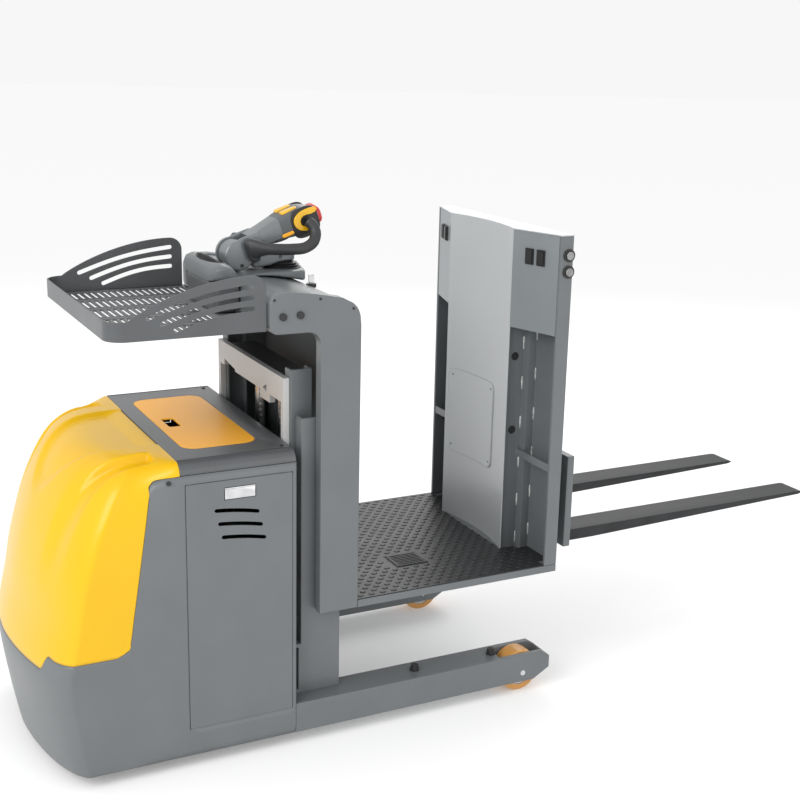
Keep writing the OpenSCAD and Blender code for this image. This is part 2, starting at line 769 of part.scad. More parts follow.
// floor of the tray with its rows of slots
module tray_floor() color("dimgray") {
    x0 = arch_x + 9 - tray_len;
    pitch = (tray_len - 46)/tray_slots;
    difference() {
        translate([0, 0, tray_under]) linear_extrude(tray_t) polygon(concat(
            [[arch_x - fit, tray_t - tray_half]],
            [[arch_x - fit, tray_half - tray_t]],
            arc(x0 + tray_r, tray_half - tray_r, tray_r - tray_t - 0.2, 90, 180, 6),
            arc(x0 + tray_r, tray_r - tray_half, tray_r - tray_t - 0.2, 180, 270, 6)));
        for (i = [0:tray_slots - 1], row = [-1.5:1:1.5]) {
            x = x0 + 46 + pitch*i;
            if (x < pod_x - 12 || abs(row) > 1)
                block(x, x + 9, row*147 - 50, row*147 + 50, tray_under - 1, tray_under + tray_t + 1);
        }
    }
}

// height of the side wall where u runs from 0 at the lip to 1 at the cabin
function rim_height(u) = tray_lip + (tray_wall - tray_lip)*sin(90*pow(u, 0.8));

// band of the rim seen from above, open towards the cabin
module rim_band(x0, x1) {
    inner_r = tray_r - tray_t;
    centre_y = tray_half - tray_r;
    polygon(concat(
        [[x1, -tray_half]],
        arc(x0 + tray_r, -centre_y, tray_r, 270, 180, 10),
        arc(x0 + tray_r, centre_y, tray_r, 180, 90, 10),
        [[x1, tray_half], [x1, tray_half - tray_t]],
        arc(x0 + tray_r, centre_y, inner_r, 90, 180, 10),
        arc(x0 + tray_r, -centre_y, inner_r, 180, 270, 10),
        [[x1, tray_t - tray_half]]));
}

// lip and the two rising side walls
module tray_rim() color("dimgray") {
    x0 = arch_x + 9 - tray_len;
    x1 = arch_x - fit;
    intersection() {
        translate([0, 0, tray_under - 1]) linear_extrude(tray_wall + 2) rim_band(x0, x1);
        difference() {
            side_plate(concat([[x1 + 1, tray_under], [x1 + 1, tray_under + tray_wall - 24]],
                              arc(x1 - 22, tray_under + tray_wall - 24, 22, 0, 90, 5),
                              [for (i = [7:-1:1]) [x0 + tray_r + (x1 - x0 - 70)*i/8, tray_under + rim_height(i/8)]],
                              [[x0 + tray_r, tray_under + tray_lip], [x0 - 1, tray_under + tray_lip],
                               [x0 - 1, tray_under]]),
                       -tray_half - 1, tray_half + 1);
            for (k = [0:2]) {
                sx = x0 + 112 + 38*k;
                sz = tray_under + 56 - 18*k;
                ex = x1 - 44;
                ez = tray_under + 122 - 32*k;
                side_plate([[sx, sz], [ex, ez], [ex, ez + 14], [sx - 4, sz + 12]],
                           -tray_half - 2, tray_half + 2);
            }
        }
    }
}

// ---------- backrest ----------

module backrest_posts() color("slategray") {
    both_sides() block(post_x, cabin_end, half_cabin - 12, half_cabin, deck_z + platform_t, backrest_top);
}

// face of the hollow middle panel at a place across it
function hollow_x(y) = panel_x + panel_hollow*(1 - pow(y/panel_half, 2));

// strip that follows the hollow face between two places across it
module hollow_strip(y0, y1, off, t, h, n = 20) {
    linear_extrude(h) polygon(concat(
        [for (i = [0:n]) let (y = y0 + (y1 - y0)*i/n) [hollow_x(y) + off, y]],
        [for (i = [n:-1:0]) let (y = y0 + (y1 - y0)*i/n) [hollow_x(y) + off + t, y]]));
}

module backrest_panel() color("silver") {
    translate([0, 0, deck_z + platform_t])
        hollow_strip(-panel_half, panel_half, 0, wall_t, backrest_top - deck_z - platform_t);
    translate([0, 0, backrest_top]) linear_extrude(wall_t) polygon(concat(
        [[cabin_end, -half_cabin], [post_x, -half_cabin]],
        [for (i = [-10:10]) [hollow_x(panel_half*i/10), panel_half*i/10]],
        [[post_x, half_cabin], [cabin_end, half_cabin]]));
}

// wing above, stepped recess walls below, back sheet and cross bar, on each side
module backrest_sides() color("slategray") {
    both_sides() {
        // wing sloping back from the middle box to the post
        translate([0, 0, wing_under]) linear_extrude(backrest_top - wing_under)
            polygon([[panel_x, panel_half + 0.2], [panel_x + 4, panel_half + 0.2], [panel_x + 16, panel_half + 24],
                     [post_x + wall_t + 3, half_cabin - 12], [post_x, half_cabin - 12],
                     [panel_x + 10, panel_half + 24]]);
        translate([0, 0, wing_under]) linear_extrude(wall_t)
            polygon([[panel_x + 14, panel_half + 24], [post_x + 3, panel_half + 24], [post_x + 3, half_cabin - 24]]);
        // stepped side wall and back sheet
        translate([0, 0, deck_z + platform_t]) linear_extrude(backrest_top - deck_z - platform_t)
            polygon([[recess_front, recess_in], [recess_front, recess_in - wall_t],
                     [post_x + 12 + wall_t, recess_in - wall_t], [post_x + 12 + wall_t, recess_step - wall_t],
                     [cabin_end, recess_step - wall_t], [cabin_end, half_cabin - 12],
                     [recess_back, half_cabin - 12], [recess_back, recess_step],
                     [post_x + 12, recess_step], [post_x + 12, recess_in]]);
        block(post_x + 2, post_x + 8, recess_in, half_cabin - 12, bar_z, bar_z + 26);
    }
}

module hatch_cover() color("silver") {
    translate([0, 0, hatch_z]) hollow_strip(hatch_y - hatch_w/2, hatch_y + hatch_w/2, -1.8, 1.5, hatch_h);
}

module fork_mast() color("dimgray") {
    both_sides() channel(cabin_end - 56, cabin_end, 104, 150, deck_z + platform_t, backrest_top - 30, 7);
    block(cabin_end - 56, cabin_end, -104, 104, backrest_top - 80, backrest_top - 30);
    difference() {
        translate([ram_x, 0, deck_z + platform_t]) cylinder(d = 44, h = ram_len, $fn = 48);
        translate([ram_x, 0, deck_z + platform_t + 20]) cylinder(d = 26 + 2*bore_fit, h = ram_len, $fn = 48);
    }
}

// ram with its crosshead and chain roller, half as fast as the forks
module fork_lift_rod() color("silver") {
    top = deck_z + platform_t + ram_len + 72;
    translate([ram_x, 0, deck_z + platform_t + 96]) cylinder(d = 26, h = top - deck_z - platform_t - 96, $fn = 48);
    block(ram_x - 18, ram_x + 18, -60, 60, top, top + 24);
    for (y = [-52, 52]) rod_y(48, ram_x, top + 34, y - 7, y + 7);
}

// ---------- forks ----------

module fork_carriage() color("gray") {
    block(carriage_x, carriage_x + carriage_t, -350, 350, fork_top - 14, fork_top + 300);
    both_sides() {
        block(cabin_end - 56 + 7 + fit, carriage_x, 82, 92, fork_top + 90, fork_top + 270);
        for (z = [fork_top + 90, fork_top + 210])
            block(cabin_end - 56 + 7 + fit, cabin_end - 7 - fit, 92, 143 - fit, z, z + 60);
    }
    block(cabin_end + 6, carriage_x, -92, 92, fork_top + 160, fork_top + 178);
}

module forks() color("black") {
    both_sides() {
        side_plate([[fork_x, fork_top - fork_t], [fork_x + 160, fork_top - fork_t],
                    [fork_x + fork_len - 20, fork_top - 12], [fork_x + fork_len, fork_top - 8],
                    [fork_x + fork_len, fork_top - 3], [fork_x + fork_len - 20, fork_top],
                    [fork_x + 24, fork_top], [fork_x + 24, fork_top + 80], [fork_x, fork_top + 80]],
                   fork_spread/2 - fork_w, fork_spread/2);
    }
}

// ---------- controls ----------

// the wing's slope, so that switches lie flat on it
wing_dx = post_x - (panel_x + 10);
wing_dy = half_cabin - 12 - (panel_half + 24);
wing_turn = atan2(wing_dx, wing_dy);

module on_wing(y) {
    translate([panel_x + 10 + wing_dx*(y - panel_half - 24)/wing_dy, y, rocker_z])
        rotate([0, 0, -wing_turn]) children();
}

module rocker_cap() {
    translate([-9.5, -rocker_w/2 + 3, -rocker_h/2 + 3]) cube([4.5, rocker_w - 6, rocker_h - 6]);
}

module rocker_left_front() color("black") mirror([0, 1, 0]) on_wing(rocker_y[0]) rocker_cap();
module rocker_left_rear() color("black") mirror([0, 1, 0]) on_wing(rocker_y[1]) rocker_cap();
module rocker_right_front() color("black") on_wing(rocker_y[0]) rocker_cap();
module rocker_right_rear() color("black") on_wing(rocker_y[1]) rocker_cap();

// rocker frames, push button bezels, pedal frame and the key lock
module switch_bezels() color("black") {
    both_sides() for (y = rocker_y) on_wing(y) difference() {
        translate([-6, -rocker_w/2, -rocker_h/2]) cube([6, rocker_w, rocker_h]);
        translate([-7, -rocker_w/2 + 3 - fit, -rocker_h/2 + 3 - fit])
            cube([4.6, rocker_w - 6 + 2*fit, rocker_h - 6 + 2*fit]);
    }
    for (z = push_z) difference() {
        rod_y(bezel_d, push_x, z, -half_cabin - bezel_t, -half_cabin);
        rod_y(push_d + 2*fit, push_x, z, -half_cabin - bezel_t - 1, -half_cabin - 1);
    }
    difference() {
        block(pedal_x0 - 3, pedal_x0 + pedal_len + 3, pedal_y - pedal_w/2 - 3,
              pedal_y + pedal_w/2 + 3, floor_z - mat_t, floor_z + 1.5);
        block(pedal_x0 - fit, pedal_x0 + pedal_len + fit, pedal_y - pedal_w/2 - fit,
              pedal_y + pedal_w/2 + fit, floor_z - mat_t - 1, floor_z + 3);
    }
    translate([key_x, key_y, key_z - 16]) difference() {
        cylinder(d = 30, h = 12, $fn = 48);
        translate([0, 0, 4]) cylinder(d = 12 + 2*fit, h = 20, $fn = 32);
    }
}

module push_button(z) {
    rod_y(push_d, push_x, z, -half_cabin - bezel_t - 5, -half_cabin - 4);
}

module push_button_upper() color("dimgray") push_button(push_z[0]);
module push_button_lower() color("dimgray") push_button(push_z[1]);

module foot_pedal() color("black") {
    block(pedal_x0, pedal_x0 + pedal_len, pedal_y - pedal_w/2, pedal_y + pedal_w/2,
          floor_z - 0.6, floor_z + 3.4);
}

module ignition_key() color("silver") {
    translate([key_x, key_y, key_z - 12 + fit]) {
        cylinder(d = 12, h = 12, $fn = 32);
        translate([-9, -1.5, 11]) cube([18, 3, 24]);
    }
}

module cabin_screws() color("black") {
    both_sides() {
        for (p = [[arch_x + 39, arch_under + 51], [arch_x + 91, arch_under + 53]])
            translate([p[0], half_cabin, p[1]]) rotate([-90, 0, 0]) cylinder(d = 22, h = 6, $fn = 32);
        for (p = [[arch_x + 13, side_top - 20], [column_x - 4, side_top - 25], [column_x + 99, side_top - 59]])
            translate([p[0], half_cabin, p[1]]) rotate([-90, 0, 0]) cylinder(d = 8, h = 2, $fn = 24);
    }
}

// ---------- tiller ----------

// swivel stem, bracket and hinge lugs
module tiller_stem() color("gray") {
    difference() {
        union() {
            translate([stem_x, 0, side_top - 60]) cylinder(r = 26, h = stem_z - side_top + 70, $fn = 64);
            translate([stem_x, 0, stem_z]) cylinder(r = stem_r, h = 58, $fn = 64);
            block(hub_x, stem_x, -lug_half, lug_half, stem_z + 2, stem_z + 50);
            rod_y(2*hub_r - 6, hub_x, hub_z, -lug_half, lug_half, 64);
        }
        rod_y(pin_d + 2*bore_fit, hub_x, hub_z, -100, 100);
    }
}

module in_arm() {
    translate([hub_x, 0, hub_z]) rotate([0, -arm_rise, 0]) children();
}

// hub cheeks, hinge pin, arm and control head
module tiller_arm() color("dimgray") {
    difference() {
        union() {
            rod_y(pin_d, hub_x, hub_z, -hub_half, hub_half);
            both_sides() rod_y(2*hub_r, hub_x, hub_z, lug_half + fit, hub_half, 64);
            in_arm() {
                both_sides() side_plate([[0, 2], [hub_r + 30, -4], [hub_r + 30, 40], [20, hub_r - 8]],
                                        lug_half + fit + 1, hub_half - 4);
                side_plate([[hub_r + 10, 2], [hub_r + 40, -6], [arm_len - 130, -10], [arm_len - 130, 62],
                            [hub_r + 40, 50], [hub_r + 10, 42]], -hub_half + 4, hub_half - 4);
                side_plate([[arm_len - 140, -10], [arm_len - 40, -12], [arm_len - 10, 0], [arm_len - 4, 26],
                            [arm_len - 14, 52], [arm_len - 50, 66], [arm_len - 140, 64]],
                           -head_half, head_half);
            }
        }
        in_arm() {
            both_sides() block(172, 232, 14, head_half - 12, 58, 80);
            rod_y(12 + 2*bore_fit, throttle_s, throttle_n, -100, 100);
            block(arm_len - 30, arm_len + 20, -30, 30, 8, 46);
        }
    }
}

// one grip loop on each side, from the hub cheek round to the throttle's centre;
// each point is along the arm, out to the side and up from the arm's axis
module grip_loops() color("black") {
    r = grip_d/2;
    path = [[36, hub_half + r + fit, 12], [70, 95, 2], [124, 115, -21], [187, 115, -40],
            [224, 98, -30], [238, 84, -6], [throttle_s, head_half + 3 + r, throttle_n]];
    in_arm() both_sides() for (i = [1:6])
        hull() for (k = [i - 1, i]) translate(path[k]) sphere(r = r, $fn = 14);
}

// shaft through the head with an open thumb ring on each side
module thumb_throttle() color("gold") in_arm() difference() {
    union() {
        rod_y(12, throttle_s, throttle_n, -head_half - 1, head_half + 1);
        both_sides() rod_y(2*ring_r, throttle_s, throttle_n, head_half + fit, head_half + 10, 64);
    }
    both_sides() rod_y(grip_d + 7, throttle_s, throttle_n, head_half + 2.6, head_half + 20, 64);
    both_sides() block(throttle_s - 6, throttle_s + 60, head_half + 2.6, head_half + 20,
                       throttle_n - 60, throttle_n + 5);
}

module belly_button() color("red") in_arm() {
    block(arm_len - 20, arm_len + 10, -30 + fit, 30 - fit, 8 + fit, 46 - fit);
}

module tiller_button() {
    block(172 + fit, 232 - fit, 14 + fit, head_half - 12 - fit, 63, 71);
}

module tiller_button_left() color("gold") in_arm() mirror([0, 1, 0]) tiller_button();
module tiller_button_right() color("gold") in_arm() tiller_button();

chassis_frame();
support_legs();
body_skirt();
front_hood();
top_cover();
battery_lid();
side_door_left();
side_door_right();
door_latch_left();
door_latch_right();
battery_pack();
power_unit();
drive_unit();
drive_wheel();
load_wheel_left();
load_wheel_right();
load_wheel_axles();
leg_buffers();
body_screws();
mast_rails();
lift_cylinders();
lift_rods();
inner_rails();
inner_crossbeam();
chain_sheaves();
lift_chains();
cabin_column_left();
cabin_column_right();
carriage_frame();
platform_deck();
floor_mat();
front_panel();
console_pod();
tray_floor();
tray_rim();
backrest_posts();
backrest_panel();
backrest_sides();
hatch_cover();
switch_bezels();
cabin_screws();
fork_mast();
fork_lift_rod();
fork_carriage();
forks();
rocker_left_front();
rocker_left_rear();
rocker_right_front();
rocker_right_rear();
push_button_upper();
push_button_lower();
foot_pedal();
ignition_key();
tiller_stem();
tiller_arm();
grip_loops();
thumb_throttle();
belly_button();
tiller_button_left();
tiller_button_right();
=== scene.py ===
"""Looks of a low-level order picker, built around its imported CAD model.

Every piece is a surface worked out with numpy, or a softened copy of a CAD node, in metres and in the
frame of the CAD model: X runs from the rounded nose to the fork tips, Z is up, the floor is z = 0.
"""

import json
from math import cos, pi, radians, sin

import bmesh
import bpy
import numpy as np
from bpy.props import FloatProperty, FloatVectorProperty, PointerProperty
from mathutils import Matrix, Vector
from mathutils.geometry import delaunay_2d_cdt


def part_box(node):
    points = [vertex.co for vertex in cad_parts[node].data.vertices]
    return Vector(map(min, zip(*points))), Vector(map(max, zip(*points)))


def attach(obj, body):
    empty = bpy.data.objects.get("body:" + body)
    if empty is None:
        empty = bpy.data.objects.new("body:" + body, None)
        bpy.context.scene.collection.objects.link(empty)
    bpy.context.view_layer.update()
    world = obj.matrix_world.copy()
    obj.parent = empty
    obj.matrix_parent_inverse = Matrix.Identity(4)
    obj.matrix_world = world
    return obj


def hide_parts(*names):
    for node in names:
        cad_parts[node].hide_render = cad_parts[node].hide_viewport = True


bl_info = {
    "name": "Order Picker Looks",
    "version": (1, 0, 0),
    "blender": (4, 5, 0),
    "location": "View3D > Sidebar > Order Picker",
    "description": "Builds the visible pieces of a low-level order picker",
    "category": "Object",
}

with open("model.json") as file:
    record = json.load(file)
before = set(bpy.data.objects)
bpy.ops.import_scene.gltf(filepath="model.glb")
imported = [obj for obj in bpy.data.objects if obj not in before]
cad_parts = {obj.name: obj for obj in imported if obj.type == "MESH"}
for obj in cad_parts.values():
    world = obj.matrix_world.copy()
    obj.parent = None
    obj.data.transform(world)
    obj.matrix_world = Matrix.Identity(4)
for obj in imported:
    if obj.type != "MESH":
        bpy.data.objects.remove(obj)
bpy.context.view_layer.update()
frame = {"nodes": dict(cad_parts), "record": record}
BODY_OF = {n: b for b, names in frame["record"]["behaviour"]["bodies"].items() for n in names}


def low(node):
    """Lowest corner of a CAD node."""
    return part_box(node)[0]


def high(node):
    """Highest corner of a CAD node."""
    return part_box(node)[1]


# places that several pieces share
NOSE_X = low("body_skirt").x
REAR_X = high("body_skirt").x
HALF_W = high("support_legs").y
SKIRT_Z = low("body_skirt").z
CAP_X = low("top_cover").x
CAP_Z = low("top_cover").z
TOP_Z = high("top_cover").z
DOOR_LOW = low("side_door_right")
DOOR_HIGH = high("side_door_right")
DECK_TOP = high("platform_deck").z
TRAY_LOW = low("tray_rim")
TRAY_HIGH = high("tray_rim")
WING_X = low("backrest_panel").x
CABIN_END = high("backrest_posts").x
BACK_TOP = high("backrest_posts").z
CONSOLE_TOP = high("console_pod").z
WHEEL = (low("load_wheel_right") + high("load_wheel_right")) / 2
SIDES = ((-1, "left"), (1, "right"))
NOSE_SHARE = 0.6  # share of the way round one half of the body that the nose takes
FAR_BELOW = (0, 0, -10)


# ---------- sizes and colours ----------


def size(label, what, value):
    """A length property with its default."""
    return FloatProperty(name=label, description=what, default=value, unit="LENGTH")


class BodyLooks(bpy.types.PropertyGroup):
    """Shape of the moulded hood and skirt."""

    crown_draw: size("Crown draw", "How far the nose draws in at the top", 0.300)
    nose_height: size("Nose height", "Height of the foremost point of the nose", 0.337)
    nose_depth: size("Nose depth", "Depth of the curved nose in plan", 0.113)
    hood_low: size("Hood edge", "Height of the hood's lower edge at the sides", 0.396)
    wall: size("Wall", "Wall of the body shells", 0.005)
    dish_depth: size("Dish depth", "Depth of the oval dish on the hood", 0.014)
    groove_depth: size("Groove depth", "Depth of the two grooves on the hood", 0.024)


class CabinLooks(bpy.types.PropertyGroup):
    """Repeats on the cabin and the mast."""

    stud_pitch: size("Stud pitch", "Distance of the studs of the mat", 0.038)
    stud_d: size("Stud diameter", "Diameter of one stud of the mat", 0.022)
    weld_length: size("Weld length", "Length of one stitch weld", 0.045)
    link_pitch: size("Link pitch", "Pitch of the leaf chains", 0.019)


class TillerLooks(bpy.types.PropertyGroup):
    """Shapes of the steering tiller."""

    rise: FloatProperty(name="Rise", description="Slope of the arm", default=radians(20), subtype="ANGLE")
    grip: size("Grip", "Diameter of the grip loops", 0.034)


def colour(label, value):
    """A colour property with its default."""
    return FloatVectorProperty(name=label, description=label, subtype="COLOR", size=3, default=value)


class PaintLooks(bpy.types.PropertyGroup):
    """Colours of the finishes."""

    grey: colour("Body grey", (0.130, 0.141, 0.147))
    dark: colour("Cover grey", (0.080, 0.085, 0.090))
    light: colour("Panel grey", (0.25, 0.27, 0.28))
    pale: colour("Beam grey", (0.50, 0.50, 0.495))
    yellow: colour("Hood yellow", (0.74, 0.43, 0.002))
    orange: colour("Lid yellow", (1.0, 0.45, 0.02))
    black: colour("Black", (0.017, 0.017, 0.018))
    amber: colour("Tyre amber", (0.62, 0.30, 0.075))
    red: colour("Button red", (0.55, 0.012, 0.012))


# ---------- shapes ----------


def flow(xs, ys, x):
    """Smooth curve through a few points: cubic Hermite pieces whose slopes are those of the chords."""
    xs, ys = np.asarray(xs, float), np.asarray(ys, float)
    slope = np.gradient(ys, xs, axis=0)
    x = np.clip(x, xs[0], xs[-1])
    i = np.clip(np.searchsorted(xs, x, side="right") - 1, 0, len(xs) - 2)
    h = xs[i + 1] - xs[i]
    t = (x - xs[i]) / h
    if ys.ndim > 1:
        h, t = h[..., None], t[..., None]
    return ((2 * t**3 - 3 * t**2 + 1) * ys[i] + (t**3 - 2 * t**2 + t) * h * slope[i]
            + (3 * t**2 - 2 * t**3) * ys[i + 1] + (t**3 - t**2) * h * slope[i + 1])


def at(x, y, z):
    """Points from their coordinates, each an array or one number."""
    return np.stack(np.broadcast_arrays(x, y, z), -1)


def step(a, b, x):
    """0 before a, 1 after b, and the cubic 3 t^2 - 2 t^3 between."""
    t = np.clip((x - a) / (b - a), 0, 1)
    return t * t * (3 - 2 * t)


def power(v, p):
    """Power that keeps the sign, for superellipses."""
    return np.sign(v) * np.abs(v) ** p


def quads(nu, nv, wrap=False):
    """Faces of a grid of nu by nv points; the second direction may close on itself."""
    i, j = np.meshgrid(np.arange(nu - 1), np.arange(nv if wrap else nv - 1), indexing="ij")
    a, b = i * nv + j, i * nv + (j + 1) % nv
    return np.stack([a, b, b + nv, a + nv], -1).reshape(-1, 4)


def join(*parts):
    """Several (points, faces) as one."""
    points, faces, n = [], [], 0
    for p, f in parts:
        p = np.asarray(p, float).reshape(-1, 3)
        points.append(p)
        faces += (np.asarray(f) + n).tolist() if not isinstance(f, list) else [[k + n for k in g] for g in f]
        n += len(p)
    return np.concatenate(points), faces


def grid(points, wrap=False):
    """A grid of points as (points, faces)."""
    return points.reshape(-1, 3), quads(points.shape[0], points.shape[1], wrap)


def revolve(profile, centre, axis, segments=48):
    """Turns a profile of (radius, distance along the axis) about an axis through the centre."""
    axis = np.array(Vector(axis).normalized())
    side = np.cross(axis, (0.3, 0.5, 0.81))
    side /= np.linalg.norm(side)
    other = np.cross(axis, side)
    r, h = np.array(profile, float).T
    a = np.linspace(0, 2 * pi, segments, endpoint=False)
    ring = np.cos(a)[None, :, None] * side + np.sin(a)[None, :, None] * other
    return grid(np.array(centre) + r[:, None, None] * ring + h[:, None, None] * axis, wrap=True)


def sweep(path, radius, sides=20):
    """A round section carried along a path, with frames that don't twist; radius may vary along it."""
    path = np.asarray(path, float)
    t = np.gradient(path, axis=0)
    t /= np.linalg.norm(t, axis=1)[:, None]
    u = np.cross(t[0], (0.1, 0.2, 1.0))
    frames = []
    for d in t:
        u = u - d * (u @ d)
        u /= np.linalg.norm(u)
        frames.append(u)
    u = np.array(frames)
    v = np.cross(t, u)
    a = np.linspace(0, 2 * pi, sides, endpoint=False)
    r = np.broadcast_to(radius, len(path))[:, None, None]
    ring = np.cos(a)[None, :, None] * u[:, None] + np.sin(a)[None, :, None] * v[:, None]
    return grid(path[:, None] + r * ring, wrap=True)


def along(points, n):
    """Points spaced evenly by parameter on a smooth curve through the given ones."""
    points = np.asarray(points, float)
    d = np.concatenate([[0], np.cumsum(np.linalg.norm(np.diff(points, axis=0), axis=1))])
    return flow(d, points, np.linspace(0, d[-1], n))


def domed_ends(n, share):
    """Radius factors along a path that close both its ends with a round."""
    t = np.linspace(0, 1, n)
    return np.sqrt(np.clip(1 - np.clip(1 - np.minimum(t, 1 - t) / share, 0, 1) ** 2, 0, 1)) + 1e-4


def arc(cx, cy, r, a0, a1, n=8):
    """Points on a circle between two angles, in degrees."""
    a = np.radians(np.linspace(a0, a1, n))
    return np.stack([cx + r * np.cos(a), cy + r * np.sin(a)], -1)


def slab(outline, low_h, high_h, place):
    """An outline of (u, v) between two heights; place maps u, v and h to points."""
    u, v = np.asarray(outline, float).T
    n = len(u)
    k = np.arange(n)
    sides = np.stack([k, (k + 1) % n, (k + 1) % n + n, k + n], -1).tolist()
    ends = [k[::-1].tolist(), (k + n).tolist()]
    return np.concatenate([place(u, v, low_h), place(u, v, high_h)]), sides + ends


def superbox(centre, half, p=4.0, nu=20, nv=32):
    """Box with round edges: a superellipsoid of power p about a centre."""
    a = np.linspace(-pi / 2, pi / 2, nu)[:, None]
    b = np.linspace(0, 2 * pi, nv, endpoint=False)[None]
    e = 2 / p
    x = power(np.cos(a), e) * power(np.cos(b), e)
    y = power(np.cos(a), e) * power(np.sin(b), e)
    z = power(np.sin(a), e) * np.ones_like(b)
    return grid(np.stack([x, y, z], -1) * np.array(half) + np.array(centre), wrap=True)


# ---------- objects ----------


def make(name, shape, material, body, stands_for=(), smooth=35, merge=1e-5):
    """Puts (points, faces) into a mesh object with merged doubles and outward faces, and rides it on its body."""
    points, faces = shape
    mesh = bpy.data.meshes.new(name)
    mesh.from_pydata(np.asarray(points).tolist(), [], faces if isinstance(faces, list) else faces.tolist())
    bm = bmesh.new()
    bm.from_mesh(mesh)
    bmesh.ops.remove_doubles(bm, verts=bm.verts, dist=merge)
    bmesh.ops.dissolve_degenerate(bm, edges=bm.edges, dist=merge)
    bmesh.ops.recalc_face_normals(bm, faces=bm.faces)
    bm.to_mesh(mesh)
    bm.free()
    mesh.shade_smooth()
    mesh.set_sharp_from_angle(angle=radians(smooth))
    obj = bpy.data.objects.new(name, mesh)
    bpy.context.scene.collection.objects.link(obj)
    mesh.materials.append(MATERIALS[material])
    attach(obj, body)
    if stands_for:
        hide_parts(*stands_for)
    return obj


def outward(obj, reference):
    """Turns the faces of an open shell so that they look away from a point."""
    mesh = obj.data
    facing = sum(p.normal.dot(p.center - Vector(reference)) * p.area for p in mesh.polygons)
    if facing < 0:
        mesh.flip_normals()
    return obj


def thicken(obj, wall):
    """Gives an open shell its wall, inwards."""
    m = obj.modifiers.new("wall", "SOLIDIFY")
    m.thickness = wall
    m.offset = -1
    return obj


def bevel(obj, width, segments=2):
    """Rounds the hard edges."""
    m = obj.modifiers.new("edges", "BEVEL")
    m.width = width
    m.segments = segments
    m.limit_method = "ANGLE"
    m.angle_limit = radians(32)
    m.use_clamp_overlap = False
    m.harden_normals = True
    return obj


def zone(obj, material, test):
    """Gives the faces whose centres and normals pass a test a second finish."""
    mesh = obj.data
    centre = np.zeros(len(mesh.polygons) * 3)
    normal = np.zeros(len(mesh.polygons) * 3)
    mesh.polygons.foreach_get("center", centre)
    mesh.polygons.foreach_get("normal", normal)
    mesh.materials.append(MATERIALS[material])
    index = np.zeros(len(mesh.polygons), int)
    mesh.polygons.foreach_get("material_index", index)
    index[test(centre.reshape(-1, 3), normal.reshape(-1, 3))] = len(mesh.materials) - 1
    mesh.polygons.foreach_set("material_index", index)
    mesh.update()
    return obj


def within(points, loop):
    """Whether each point lies in a loop: a ray to its right crosses the loop an odd number of times."""
    a, b = loop, np.roll(loop, -1, axis=0)
    u, v = points[:, :1], points[:, 1:]
    spans = (a[:, 1] > v) != (b[:, 1] > v)
    rise = np.where(b[:, 1] == a[:, 1], 1, b[:, 1] - a[:, 1])
    cross = a[:, 0] + (v - a[:, 1]) / rise * (b[:, 0] - a[:, 0])
    return (spans & (u < cross)).sum(1) % 2 == 1


def holed(outline, holes, place):
    """A flat sheet with holes: the outline and the holes of (u, v) are filled with triangles and placed."""
    loops = [np.asarray(outline, float)] + [np.asarray(h, float) for h in holes]
    starts = np.cumsum([0] + [len(loop) for loop in loops])
    edges = [(a + k, a + (k + 1) % n) for a, n in zip(starts, map(len, loops)) for k in range(n)]
    points = [Vector(p) for p in np.concatenate(loops)]
    only_inside = 1
    spots, _, tris, *_ = delaunay_2d_cdt(points, edges, [], only_inside, 1e-7)
    flat = np.array([tuple(p) for p in spots])
    centre = flat[np.array(tris)].mean(1)
    open_part = np.zeros(len(centre), bool)
    for loop in loops[1:]:
        open_part |= within(centre, loop)
    return place(flat[:, 0], flat[:, 1]), [list(t) for t, hole in zip(tris, open_part) if not hole]


def oval(cx, cy, length, width, n=6, bow=0.0):
    """Outline of a slot with round ends; bow lifts its middle."""
    r = width / 2
    run = np.linspace(length / 2 - r, -length / 2 + r, 7)[1:-1]
    loop = np.concatenate([
        arc(cx + length / 2 - r, cy, r, -90, 90, n), np.stack([cx + run, np.full_like(run, cy + r)], -1),
        arc(cx - length / 2 + r, cy, r, 90, 270, n), np.stack([cx - run, np.full_like(run, cy - r)], -1)])
    loop[:, 1] += bow * (1 - ((loop[:, 0] - cx) / (length / 2)) ** 2)
    return loop


def softened(node, material, width):
    """A copy of a CAD node with merged corners and rounded edges, which stands for the node."""
    mesh = frame["nodes"][node].data.copy()
    mesh.materials.clear()
    bm = bmesh.new()
    bm.from_mesh(mesh)
    bmesh.ops.remove_doubles(bm, verts=bm.verts, dist=1e-5)
    bmesh.ops.dissolve_limit(bm, angle_limit=radians(0.6), verts=bm.verts, edges=bm.edges)
    bm.to_mesh(mesh)
    bm.free()
    mesh.shade_smooth()
    mesh.set_sharp_from_angle(angle=radians(32))
    obj = bpy.data.objects.new(f"{node}_piece", mesh)
    bpy.context.scene.collection.objects.link(obj)
    mesh.materials.append(MATERIALS[material])
    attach(obj, BODY_OF[node])
    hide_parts(node)
    return bevel(obj, width)


# ---------- finishes ----------

MATERIALS = {}


